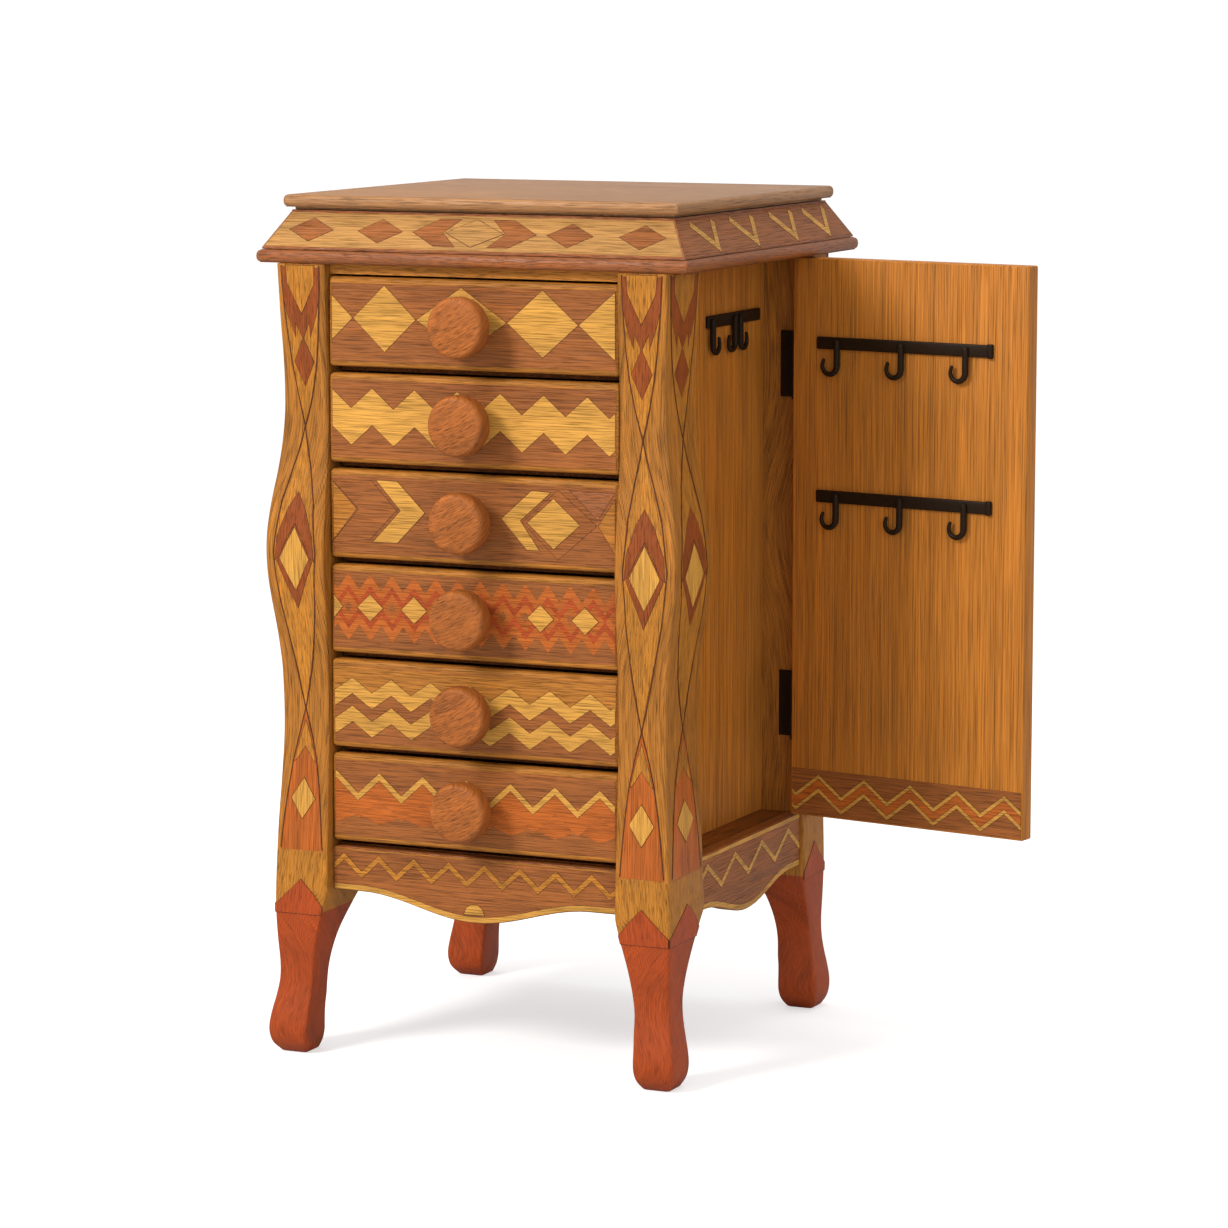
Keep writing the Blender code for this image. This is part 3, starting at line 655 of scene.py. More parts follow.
def run_tree(tree, values):
    """The mesh that a node tree makes. Values are set by the sockets' identifiers."""
    holder = bpy.data.objects.new("holder", bpy.data.meshes.new("holder"))
    bpy.context.scene.collection.objects.link(holder)
    modifier = holder.modifiers.new("maker", "NODES")
    modifier.node_group = tree
    for socket in tree.interface.items_tree:
        if socket.item_type == "SOCKET" and socket.name in values:
            modifier[socket.identifier] = values[socket.name]
    holder.update_tag()
    graph = bpy.context.evaluated_depsgraph_get()
    graph.update()
    mesh = bpy.data.meshes.new_from_object(holder.evaluated_get(graph))
    bare = holder.data
    bpy.data.objects.remove(holder, do_unlink=True)
    bpy.data.meshes.remove(bare)
    return mesh


def tree_named(name, maker):
    return bpy.data.node_groups.get(name) or maker()


def ribbon_mesh(half_pitch, columns, rise, band, start):
    return run_tree(tree_named("zigzag_ribbon", ribbon_tree), {
        "Half Pitch": half_pitch, "Columns": columns, "Rise": rise, "Band": band,
        "Start": start, "Finish": bpy.data.materials["golden"]})


def screw_tree():
    """A row of domed screw heads with a cross slot, up the Z axis, facing -Y."""
    made, given, out = geometry_group("screw_row", [
        ("Count", "Int", 3), ("Spacing", "Float", 10.0), ("Radius", "Float", 1.3),
        ("Finish", "Material", None)])
    dome = made.add("GeometryNodeMeshUVSphere", {
        "Segments": 14, "Rings": 6, "Radius": given.outputs["Radius"]})
    flat = made.add("GeometryNodeTransform", {
        "Geometry": dome.outputs["Mesh"], "Rotation": (math.radians(90), 0.0, 0.0),
        "Scale": (1.0, 1.0, 0.34)})
    bar_size = made.add("ShaderNodeCombineXYZ", {
        "X": made.math("MULTIPLY", given.outputs["Radius"], 1.5),
        "Y": made.math("MULTIPLY", given.outputs["Radius"], 0.22),
        "Z": made.math("MULTIPLY", given.outputs["Radius"], 0.26)})
    bar = made.add("GeometryNodeMeshCube", {"Size": bar_size.outputs[0]})
    drop = made.add("ShaderNodeCombineXYZ", {
        "Y": made.math("MULTIPLY", given.outputs["Radius"], -0.26)})
    slot = made.add("GeometryNodeTransform", {
        "Geometry": bar.outputs["Mesh"], "Translation": drop.outputs[0],
        "Rotation": (0.0, math.radians(35), 0.0)})
    head = made.add("GeometryNodeJoinGeometry")
    made.link(flat.outputs[0], head.inputs[0])
    made.link(slot.outputs[0], head.inputs[0])
    gap = made.add("ShaderNodeCombineXYZ", {"Z": given.outputs["Spacing"]})
    places = made.add("GeometryNodeMeshLine", {
        "Count": given.outputs["Count"], "Offset": gap.outputs[0]})
    heads = made.add("GeometryNodeInstanceOnPoints", {
        "Points": places.outputs[0], "Instance": head.outputs[0]})
    real = made.add("GeometryNodeRealizeInstances", {"Geometry": heads.outputs[0]})
    painted = made.add("GeometryNodeSetMaterial", {
        "Geometry": real.outputs[0], "Material": given.outputs["Finish"]})
    made.link(painted.outputs[0], out.inputs[0])
    return made.tree


def roll_tree():
    """Velvet rolls side by side along Y, each a cylinder along X that rounds off at its ends."""
    made, given, out = geometry_group("ring_rolls", [
        ("Count", "Int", 12), ("Spacing", "Float", 14.0), ("Radius", "Float", 7.0),
        ("Length", "Float", 88.0), ("Finish", "Material", None)])
    tube = made.add("GeometryNodeMeshCylinder", {
        "Vertices": 24, "Side Segments": 28, "Fill Segments": 3,
        "Radius": given.outputs["Radius"], "Depth": given.outputs["Length"]})
    place = made.add("GeometryNodeInputPosition").outputs[0]
    split = made.add("ShaderNodeSeparateXYZ", {0: place})
    half = made.math("DIVIDE", given.outputs["Length"], 2.0)
    share = made.math("DIVIDE", made.math("ABSOLUTE", split.outputs["Z"]), half)
    narrow = made.math("SUBTRACT", 1.0, made.math("POWER", share, 9.0))
    round_off = made.math("MAXIMUM", made.math("SQRT", narrow), 0.25)
    shaped = made.add("ShaderNodeCombineXYZ", {
        "X": made.math("MULTIPLY", split.outputs["X"], round_off),
        "Y": made.math("MULTIPLY", split.outputs["Y"], round_off),
        "Z": split.outputs["Z"]})
    rounded = made.add("GeometryNodeSetPosition", {
        "Geometry": tube.outputs["Mesh"], "Position": shaped.outputs[0]})
    lying = made.add("GeometryNodeTransform", {
        "Geometry": rounded.outputs[0], "Rotation": (0.0, math.radians(90), 0.0)})
    gap = made.add("ShaderNodeCombineXYZ", {"Y": given.outputs["Spacing"]})
    places = made.add("GeometryNodeMeshLine", {
        "Count": given.outputs["Count"], "Offset": gap.outputs[0]})
    rolls = made.add("GeometryNodeInstanceOnPoints", {
        "Points": places.outputs[0], "Instance": lying.outputs[0]})
    real = made.add("GeometryNodeRealizeInstances", {"Geometry": rolls.outputs[0]})
    painted = made.add("GeometryNodeSetMaterial", {
        "Geometry": real.outputs[0], "Material": given.outputs["Finish"]})
    made.link(painted.outputs[0], out.inputs[0])
    return made.tree


# ---------------------------------------------------------------- posts and legs
BLOCK_Z = 104.0
BLOCK_LOW = 74.0


def section_table(node):
    """Rows of (height, outer x, inner x, outer y, inner y), read from a post's own slices."""
    slices = {}
    solid = frame["nodes"][node]
    for vert in solid.data.vertices:
        place = (solid.matrix_world @ vert.co - CABINET) / MM
        slices.setdefault(round(place.z), []).append(place)
    rows = []
    for places in slices.values():
        across = [abs(place.x) for place in places]
        deep = [abs(place.y) for place in places]
        rows.append((places[0].z, max(across), min(across), max(deep), min(deep)))
    return sorted(rows)


def smooth(table, height, column):
    """The table's value at a height, on a smooth curve through its rows."""
    height = min(max(height, table[0][0]), table[-1][0])
    i = next((k for k in range(len(table) - 1) if height <= table[k + 1][0]), len(table) - 2)

    def slope(k):
        before, after = table[max(k - 1, 0)], table[min(k + 1, len(table) - 1)]
        return (after[column] - before[column]) / (after[0] - before[0])

    step = table[i + 1][0] - table[i][0]
    t = (height - table[i][0]) / step
    return (
        (2 * t**3 - 3 * t**2 + 1) * table[i][column] + (t**3 - 2 * t**2 + t) * step * slope(i)
        + (-2 * t**3 + 3 * t**2) * table[i + 1][column] + (t**3 - t**2) * step * slope(i + 1))


POST_TABLE = {row: section_table(f"post_{row}_right") for row in ("front", "rear")}


def post_section(row, height):
    """Outer x, inner x, outer y and inner y of a front or rear post at a height."""
    return tuple(smooth(POST_TABLE[row], height, column) for column in range(1, 5))


def post_body(row, side_x, side_y):
    """The curved square post as one smooth loft with rounded corners."""
    bm = bmesh.new()
    layer = grain_layer(bm)
    radius = bpy.context.scene.chest_sizes.corner / MM
    heights = [1.5 * i for i in range(70)]
    heights += [heights[-1] + 2.5 * i for i in range(1, 120)]
    heights = [0.0, 0.5] + [z for z in heights[1:] if z < POST_TOP - 1.0] + [POST_TOP]
    rings = []
    for height in heights:
        outer_x, inner_x, outer_y, inner_y = post_section(row, height)
        if height == 0.0:
            outer_x, inner_x, outer_y, inner_y = (
                outer_x - 0.6, inner_x + 0.6, outer_y - 0.6, inner_y + 0.6)
        corners = [(outer_x, outer_y), (inner_x, outer_y), (inner_x, inner_y),
                   (outer_x, inner_y)]
        middle = Vector(((outer_x + inner_x) / 2, (outer_y + inner_y) / 2))
        ring = []
        for number, (x, y) in enumerate(corners):
            toward = Vector((math.copysign(1, x - middle.x), math.copysign(1, y - middle.y)))
            hub = Vector((x, y)) - toward * radius
            for i in range(4):
                angle = math.pi / 2 * (number + i / 3)
                ring.append((hub.x + radius * math.cos(angle),
                             hub.y + radius * math.sin(angle)))
        rings.append([bm.verts.new((side_x * x, side_y * y, height)) for x, y in ring])
    for low, high in zip(rings, rings[1:]):
        around = 0.0
        for i in range(len(low)):
            face = bm.faces.new((low[i - 1], low[i], high[i], high[i - 1]))
            width = (low[i].co - low[i - 1].co).length
            for loop in face.loops:
                right = loop.vert in (low[i], high[i])
                loop[layer].uv = (loop.vert.co.z * MM, (around + (width if right else 0)) * MM)
            around += width
            middle = (low[0].co.z + high[0].co.z) / 2
            finish = ("border" if middle > BLOCK_Z else "post_light" if middle > BLOCK_LOW
                      else "terracotta")
            face.material_index = wood_index(finish)
    for ring, finish in ((rings[0], "terracotta"), (rings[-1], "border")):
        face = bm.faces.new(ring)
        face.material_index = wood_index(finish)
    bmesh.ops.recalc_face_normals(bm, faces=bm.faces[:])
    return bm


def lens(low, high, half, points=14):
    """Half widths of a lens shape between two heights, as (height, half width)."""
    rows = []
    for i in range(points + 1):
        share = i / points
        rows.append((low + (high - low) * share, half * math.sin(math.pi * share) ** 1.15))
    return rows


def post_pattern(inlay, width_at):
    """The inlay of one post face. Places across are shares of the face's half width."""
    def at(share, height):
        return (share * width_at(height), height)

    def shape(*places):
        return [at(share, height) for share, height in places]

    def mirrored(*places):
        right = shape(*places)
        left = [(-x, z) for x, z in reversed(right) if abs(x) > 1e-6]
        return right + left

    top = POST_TOP - 0.8
    # light field of the upper part, from the top down to the crossing at the waist
    inlay.field(mirrored((0.0, 318), (0.28, 331), (0.50, 345), (0.64, 360), (0.74, 378),
                         (0.78, top)), "post_light")
    inlay.motif(mirrored((0.0, 360), (0.30, 368), (0.34, 361), (0.62, 372), (0.76, 380),
                         (0.78, top - 1), (0.62, top - 1), (0.42, 384), (0.0, 371.5)),
                "rust", 1)
    inlay.motif(mirrored((0.0, 372.5), (0.30, 380), (0.56, 387), (0.60, top)), "post_light", 2)
    inlay.diamond(0.0, 348.5, 0.44 * width_at(350), 11.8, "rust", 1)
    # the long lens of the belly
    belly = lens(176, 316, 0.70)
    inlay.field([at(share, z) for z, share in belly]
                + [at(-share, z) for z, share in reversed(belly[1:-1])], "post_light")
    inlay.motif(mirrored((0.0, 284), (0.30, 276), (0.60, 262), (0.66, 250), (0.52, 252),
                         (0.28, 261), (0.0, 269)), "rust", 1)
    inlay.motif([at(0.0, 268), at(-0.60, 249.5), at(0.0, 226.5), at(0.60, 249.5)], "rust", 1.4)
    inlay.diamond(0.0, 251.0, 0.50 * width_at(250), 15.6, "golden", 2.2)
    # the lower part, between the lower waist and the block over the leg
    inlay.field(mirrored((0.0, 175), (0.24, 164), (0.48, 150), (0.62, 136), (0.72, 121),
                         (0.80, BLOCK_Z + 0.4)), "orange")
    inlay.motif(mirrored((0.0, 169.5), (0.22, 161), (0.44, 149), (0.30, 151), (0.0, 157)),
                "post_light", 1)
    inlay.diamond(0.0, 130.5, 0.48 * width_at(130), 10.2, "golden", 2)
    # curved lines that cross at both waists
    for side in (-1, 1):
        upper = [(0.80, top), (0.76, 379), (0.66, 360), (0.52, 345), (0.30, 331), (0.08, 320),
                 (0.0, 316.5), (-0.10, 310), (-0.34, 297), (-0.58, 279), (-0.72, 254),
                 (-0.62, 228), (-0.40, 202), (-0.16, 185), (0.0, 176), (0.25, 164), (0.49, 150),
                 (0.63, 136), (0.73, 121), (0.81, BLOCK_Z + 1.0)]
        inlay.stroke([at(side * share, z) for share, z in upper], 0.55, "line", 1.2)
    # the leg's pointed top, let into the golden block
    inlay.motif(mirrored((0.0, 89.5), (0.48, 82.5), (0.96, 76), (0.96, BLOCK_LOW - 2),
                         (0.0, BLOCK_LOW - 2)), "terracotta", 1)


def post_faces(row, side_x, side_y):
    """The two outer faces of a post: name, half width at a height, and surface."""
    def front(across, up, out):
        outer_x, inner_x, outer_y, _ = post_section(row, up)
        return Vector((side_x * ((outer_x + inner_x) / 2) + across, side_y * (outer_y + out), up))

    def side(across, up, out):
        outer_x, _, outer_y, inner_y = post_section(row, up)
        return Vector((side_x * (outer_x + out), side_y * ((outer_y + inner_y) / 2) + across, up))

    def front_half(height):
        outer_x, inner_x, _, _ = post_section(row, height)
        return (outer_x - inner_x) / 2

    def side_half(height):
        _, _, outer_y, inner_y = post_section(row, height)
        return (outer_y - inner_y) / 2

    return (("front", front_half, front), ("side", side_half, side))


class CHEST_OT_posts(bpy.types.Operator):
    """Shape the four posts with their legs, and lay their veneers"""
    bl_idname = "chest.posts"
    bl_label = "Posts and legs"

    def execute(self, context):
        for side_y, row in ((-1, "front"), (1, "rear")):
            for side_x, word in ((-1, "left"), (1, "right")):
                node = f"post_{row}_{word}"
                new_piece(f"{node}_shaped", post_body(row, side_x, side_y), "chest",
                          replaced=[node])
                for name, half_width, surface in post_faces(row, side_x, side_y):
                    inlay = Inlay(f"{node}{name}", along="up")
                    post_pattern(inlay, half_width)
                    inlay.slice_up(68.0, POST_TOP, 4.0)
                    inlay.finish(f"{node}_inlay_{name}", "chest", surface)
        return {"FINISHED"}


# ---------------------------------------------------------------- top of the chest
def moulded_slab(low, high, profile, finish):
    """A slab whose edge follows a profile of (height share, inset), mitred at the corners."""
    bm = bmesh.new()
    grain_layer(bm)
    rings = []
    for share, inset in profile:
        z = low.z + (high.z - low.z) * share
        corners = [(low.x, low.y), (high.x, low.y), (high.x, high.y), (low.x, high.y)]
        centre = (Vector(low) + Vector(high)) / 2
        ring = []
        for number, (x, y) in enumerate(corners):
            toward = Vector((math.copysign(1, x - centre.x), math.copysign(1, y - centre.y)))
            round_by = 1.3
            hub = Vector((x, y)) - toward * (round_by + inset)
            for i in range(4):
                angle = math.pi + math.pi / 2 * (number + i / 3)
                ring.append((hub.x + round_by * math.cos(angle),
                             hub.y + round_by * math.sin(angle), z))
        rings.append([bm.verts.new(place) for place in ring])
    for lower, upper in zip(rings, rings[1:]):
        for i in range(len(lower)):
            bm.faces.new((lower[i - 1], lower[i], upper[i], upper[i - 1]))
    bm.faces.new(list(reversed(rings[0])))
    bm.faces.new(rings[-1])
    bmesh.ops.recalc_face_normals(bm, faces=bm.faces[:])
    bm.normal_update()
    for face in bm.faces:
        face.material_index = wood_index(finish)
        along = (0, 1, 0) if abs(face.normal.x) > 0.7 else (1, 0, 0)
        map_grain(bm, [face], along)
    return bm


def round_edge(bottom, top, steps=6):
    """A rounded edge profile with a fine quirk under it."""
    rows = [(0.0, bottom + 0.4)]
    for i in range(steps + 1):
        angle = math.pi * (i / steps - 0.5)
        share = 0.5 + 0.46 * math.sin(angle)
        rows.append((share, (1 - math.cos(angle)) * top))
    rows.append((1.0, top + 0.4))
    return rows


FRIEZE_FOOT = (113.5, 109.5)
FRIEZE_HEAD = (103.0, 97.5)
FRIEZE_HOLLOW = (95.0, 90.0)
FRIEZE_FLAT = (0.8, 0.6)


def frieze_face(side):
    """The surface of one sloping side of the frieze: 0 front, 1 right, 2 rear, 3 left."""
    axis = side % 2
    height = FRIEZE_HIGH.z - FRIEZE_LOW.z - sum(FRIEZE_FLAT)
    run = FRIEZE_FOOT[1 - axis] - FRIEZE_HEAD[1 - axis]
    slope = math.hypot(height, run)
    turn = Matrix.Rotation(math.pi / 2 * side, 3, "Z")
    foot = FRIEZE_FOOT[1 - axis]

    def surface(across, up, out):
        share = up / slope
        y = -(foot - run * share) - out * height / slope
        z = FRIEZE_LOW.z + FRIEZE_FLAT[0] + height * share + out * run / slope
        return turn @ Vector((across, y, z))

    return surface, slope, FRIEZE_FOOT[axis], FRIEZE_HEAD[axis]


def frieze_body():
    bm = bmesh.new()
    rings = []
    low, high = FRIEZE_LOW.z, FRIEZE_HIGH.z
    for (half_x, half_y), z in (
            (FRIEZE_HOLLOW, low), (FRIEZE_FOOT, low), (FRIEZE_FOOT, low + FRIEZE_FLAT[0]),
            (FRIEZE_HEAD, high - FRIEZE_FLAT[1]), (FRIEZE_HEAD, high), (FRIEZE_HOLLOW, high)):
        rings.append([bm.verts.new((sx * half_x, sy * half_y, z))
                      for sx, sy in ((-1, -1), (1, -1), (1, 1), (-1, 1))])
    for lower, upper in zip(rings, rings[1:] + rings[:1]):
        for i in range(4):
            bm.faces.new((lower[i - 1], lower[i], upper[i], upper[i - 1]))
    bmesh.ops.recalc_face_normals(bm, faces=bm.faces[:])
    bm.normal_update()
    for face in bm.faces:
        face.material_index = wood_index("edge")
        along = (0, 1, 0) if abs(face.normal.x) > 0.6 else (1, 0, 0)
        map_grain(bm, [face], along)
    return bm


def frieze_front_pattern(inlay, slope):
    middle = slope * 0.5
    for x in (-89.0, -51.0, 51.0, 89.0):
        inlay.diamond(x, middle, 12.0, slope * 0.31, "brown")
    for side in (-1, 1):
        tip, wing = side * 33.0, side * 14.0
        inlay.motif([(tip, middle), (wing + side * 6, middle + slope * 0.36),
                     (side * 9, middle + slope * 0.36), (side * 17.0, middle),
                     (side * 9, middle - slope * 0.36),
                     (wing + side * 6, middle - slope * 0.36)], "brown")
    inlay.diamond(0.0, middle, 15.5, slope * 0.36, "frieze_gold", 2)


def frieze_side_pattern(inlay, slope):
    middle = slope * 0.5
    for x in (-66.0, -17.0, 34.0, 78.0):
        inlay.stroke([(x - 18, middle + slope * 0.34), (x + 1, middle - slope * 0.33),
                      (x + 10, middle + slope * 0.36)], 3.9, "golden")


class CHEST_OT_top(bpy.types.Operator):
    """Mould the cornice and the lid, and lay the veneers of the frieze"""
    bl_idname = "chest.top"
    bl_label = "Cornice, frieze and lid"

    def execute(self, context):
        new_piece("cornice_moulded",
                  moulded_slab(CORNICE_LOW, CORNICE_HIGH, round_edge(0.8, 1.5), "edge"),
                  "chest", replaced=["cornice"], smooth=50)
        new_piece("frieze_body", frieze_body(), "chest",
                  replaced=["frieze_frame"])
        for side, name in enumerate(("front", "right", "rear", "left")):
            surface, slope, foot, head = frieze_face(side)
            inlay = Inlay(f"frieze{name}")
            low, high = 0.8, slope - 0.8
            def half(up):
                return foot + (head - foot) * up / slope - 0.9
            ground = "frieze_gold" if side % 2 == 0 else "brown"
            inlay.field([(-half(low), low), (half(low), low), (half(high), high),
                         (-half(high), high)], ground)
            (frieze_front_pattern if side % 2 == 0 else frieze_side_pattern)(inlay, slope)
            inlay.finish(f"frieze_inlay_{name}", "chest", surface)
        new_piece("lid_moulded",
                  moulded_slab(LID_LOW, LID_HIGH, round_edge(0.4, 1.2), "lid_wood"), "lid",
                  replaced=["lid_panel"], smooth=50)
        rim = bmesh.new()
        top, bottom = LID_LOW.z - 0.02, FRIEZE_HIGH.z + 0.2
        side, front, width = FRIEZE_HEAD[0] - 1.2, FRIEZE_HEAD[1] - 1.2, 5.0
        hinge = max(abs(value) for value in span("lid_hinge_lid_leaf", 0)) + 2.0
        for low, high in (
                ((-side, -front), (side, -front + width)),
                ((-side, -front + width + 0.1), (-side + width, front - 1.0)),
                ((side - width, -front + width + 0.1), (side, front - 1.0))):
            board(rim, (*low, bottom), (*high, top), 0.2, "lid_wood", (0, 1, 0), segments=1)
        for way in (-1, 1):
            ends = sorted((way * hinge, way * (side - width - 0.1)))
            if ends[1] - ends[0] > 2:
                board(rim, (ends[0], front - width, bottom), (ends[1], front - 1.0, top), 0.2,
                      "lid_wood", (1, 0, 0), segments=1)
        new_piece("lid_rim", rim, "lid")
        return {"FINISHED"}


# ---------------------------------------------------------------- drawers
def pattern_one(inlay, half):
    """Large golden diamonds that touch at their tips."""
    y, rise = 2.0, 16.2
    tips = [-64.6, -30.0, 19.0, 57.0]
    for left, right in zip(tips, tips[1:]):
        middle = (left + right) / 2
        inlay.motif([(left + 0.3, y), (middle, y - rise), (right - 0.3, y), (middle, y + rise)],
                    "golden")
    for side, tip in ((-1, tips[0]), (1, tips[-1])):
        edge = side * half
        reach = rise * (abs(edge) - abs(tip)) / 17.3
        reach = min(reach, rise)
        inlay.motif([(tip + side * 0.3, y), (edge, y + reach), (edge, y - reach)], "golden")


def pattern_two(inlay, half):
    """One broad golden zigzag."""
    inlay.zigzag(1.0, 10.0, 18.0, "golden", (-half, half), 11.6, peak=-7.9)


def pattern_three(inlay, half):
    """Chevrons that point to the knob, and a diamond in a dark frame."""
    inlay.motif([(-half, 15.5), (-63.4, 2.6), (-half, -13.0)], "border")
    inlay.motif([(-77, 16.8), (-55, 16.8), (-41.5, 2.8), (-56, -12.0), (-77, -14.5),
                 (-62.0, 2.6)], "brown", 0.6)
    inlay.motif([(-52.2, 17.2), (-41.0, 17.2), (-25.9, 2.3), (-41.0, -13.2), (-54.2, -13.2),
                 (-39.0, 2.8)], "golden", 1.4)
    inlay.motif([(32.1, 16.0), (42.0, 15.4), (25.8, 1.1), (36.0, -13.0), (29.4, -13.0),
                 (15.8, 1.6)], "golden", 1.4)
    inlay.motif([(27.0, 0.4), (46.0, -17.0), (66.5, 0.4), (46.0, 16.8)], "brown", 0.8)
    inlay.diamond(43.7, 0.3, 14.0, 12.2, "golden", 2)
    inlay.motif([(half, 13.5), (67.5, 0.4), (half, -12.5)], "border")
    inlay.motif([(52.0, 17.2), (67.2, 3.4), (half, 16.6)], "edge", 0.6)


def pattern_four(inlay, half):
    """An orange lattice with golden diamonds in some of its eyes."""
    limit = (-half, half)
    step, eye, y = 6.05, -32.0, 1.2
    for side, peak, level in ((1, eye, 0.4), (-1, eye + step, 0.5)):
        inlay.zigzag(y + side * 5.6, 8.0, 14.0, "orange", limit, step, peak=peak, level=level,
                     lined=False)
        inlay.zigzag(y + side * 5.4, 7.6, 3.4, "terracotta", limit, step, peak=peak,
                     level=level + 0.6, lined=False)
    for x in (-56.2, -32.0, 36.6, 60.4):
        inlay.diamond(x, y, 7.0, 6.6, "golden", 2.4)
    inlay.motif([(-half, 6.6), (-71.4, y), (-half, -4.4)], "golden", 2.4)


def pattern_five(inlay, half):
    """Two golden zigzags, one under the other, on a ground that is lighter above."""
    limit = (-half, half)
    inlay.plate([(-half - 0.5, 5.6), (half + 0.5, 5.6), (half + 0.5, 18.6),
                 (-half - 0.5, 18.6)], "border", -0.2, inlay.ground + 0.03, 0.02)
    for middle, level in ((5.6, 1), (-8.6, 1)):
        inlay.zigzag(middle, 7.4, 7.8, "golden", limit, 10.8, peak=-1.7, level=level)


def pattern_six(inlay, half):
    """A thin golden zigzag over an orange one, on brown."""
    limit = (-half, half)
    inlay.zigzag(-4.2, 4.6, 12.0, "orange", limit, 12.0, peak=8.2, level=0.5, lined=False)
    inlay.zigzag(0.0, 10.6, 9.8, "orange", limit, 12.0, peak=-3.8, level=0.6, lined=False)
    inlay.zigzag(6.2, 10.8, 3.6, "golden", limit, 12.0, peak=-3.8, level=1.2)


PATTERNS = (pattern_one, pattern_two, pattern_three, pattern_four, pattern_five, pattern_six)


def knob_profile(radius, projection):
    """Outline of a turned knob from its seat to the middle of its face: (radius, out)."""
    rows = [(radius * 0.50, 0.0), (radius * 0.46, 0.5), (radius * 0.40, 1.6),
            (radius * 0.38, projection * 0.28), (radius * 0.42, projection * 0.38),
            (radius * 0.62, projection * 0.43), (radius * 0.90, projection * 0.45),
            (radius * 0.975, projection * 0.49), (radius, projection * 0.58),
            (radius, projection * 0.80)]
    rim = radius * 0.17
    for i in range(1, 7):
        angle = math.pi / 2 * i / 6
        rows.append((radius - rim + rim * math.cos(angle),
                     projection * 0.80 + (projection * 0.165) * math.sin(angle)))
    for i in range(1, 6):
        share = 1 - i / 6
        rows.append(((radius - rim) * share, projection * (0.965 + 0.035 * (1 - share**2))))
    return rows


def turned(profile, place, out, segments=56):
    """A turned piece on an axis. Its face's grain runs level."""
    bm = bmesh.new()
    layer = grain_layer(bm)
    out = Vector(out).normalized()
    level = Vector((0, 0, 1)).cross(out).normalized()
    upright = out.cross(level)
    rings = []
    for radius, height in profile:
        rings.append([bm.verts.new(
            Vector(place) + out * height
            + level * radius * math.cos(2 * math.pi * i / segments)
            + upright * radius * math.sin(2 * math.pi * i / segments)) for i in range(segments)])
    tip = bm.verts.new(Vector(place) + out * profile[-1][1])
    for low, high in zip(rings, rings[1:]):
        for i in range(segments):
            bm.faces.new((low[i - 1], low[i], high[i], high[i - 1]))
    for i in range(segments):
        bm.faces.new((rings[-1][i - 1], rings[-1][i], tip))
    bm.faces.new(list(reversed(rings[0])))
    bmesh.ops.recalc_face_normals(bm, faces=bm.faces[:])
    for face in bm.faces:
        face.material_index = wood_index("knob")
        for loop in face.loops:
            across = (loop.vert.co - Vector(place)).dot(level)
            up = (loop.vert.co - Vector(place)).dot(upright)
            depth = (loop.vert.co - Vector(place)).dot(out)
            loop[layer].uv = ((across * 0.9 + up * 0.44) * MM + place[2] * 0.7,
                              (up * 0.9 - across * 0.44 + depth) * MM + place[2])
    return bm


class CHEST_OT_drawers(bpy.types.Operator):
    """Make the drawer fronts with their veneers, knobs and linings"""
    bl_idname = "chest.drawers"
    bl_label = "Drawers"

    def execute(self, context):
        sizes = context.scene.chest_sizes
        for n, pattern in enumerate(PATTERNS, 1):
            low, high = FRONT[n]
            body = f"drawer_{n}"
            bm = bmesh.new()
            board(bm, low, high, sizes.edge / MM, "border", (1, 0, 0), shift=(0.0, n * 0.37))
            new_piece(f"drawer_front_{n}_board", bm, body,
                      replaced=[f"drawer_front_{n}"])

            middle = (low.z + high.z) / 2
            face_y = low.y

            def surface(across, up, out, middle=middle, face_y=face_y):
                return Vector((across, face_y - out, middle + up))

            half = FACE_HALF - 1.5
            inlay = Inlay(f"drawer{n}")
            inlay.field([(-half, -19.4), (half, -19.4), (half, 19.0), (-half, 19.0)], "brown")
            pattern(inlay, half - 0.5)
            inlay.finish(f"drawer_front_{n}_inlay", body, surface)

            knob_low, knob_high = extent(f"drawer_knob_{n}")
            seat = Vector(((knob_low.x + knob_high.x) / 2, knob_high.y + 0.1,
                           (knob_low.z + knob_high.z) / 2))
            radius = (knob_high.x - knob_low.x) / 2
            knob = turned(knob_profile(radius, knob_high.y - knob_low.y), seat, (0, -1, 0))
            new_piece(f"drawer_knob_{n}_turned", knob, body,
                      replaced=[f"drawer_knob_{n}"], smooth=40)

            box_low, box_high = extent(f"drawer_box_{n}")
            wall = 3.5
            lining = bmesh.new()
            board(lining, (box_low.x + wall + 0.2, box_low.y + wall + 0.2, box_low.z + wall),
                  (box_high.x - wall - 0.2, box_high.y - wall - 0.2, box_low.z + wall + 0.9),
                  0.3, "golden", (1, 0, 0))
            new_piece(f"drawer_lining_{n}", lining, body, woods=["wine_velvet"])
        return {"FINISHED"}


# ---------------------------------------------------------------- aprons
def apron_bottom(x, half, end, drop, swell=0.80):
    share = min(abs(x) / (half * swell), 1.0)
    return end - drop * 0.5 * (1 + math.cos(math.pi * share))


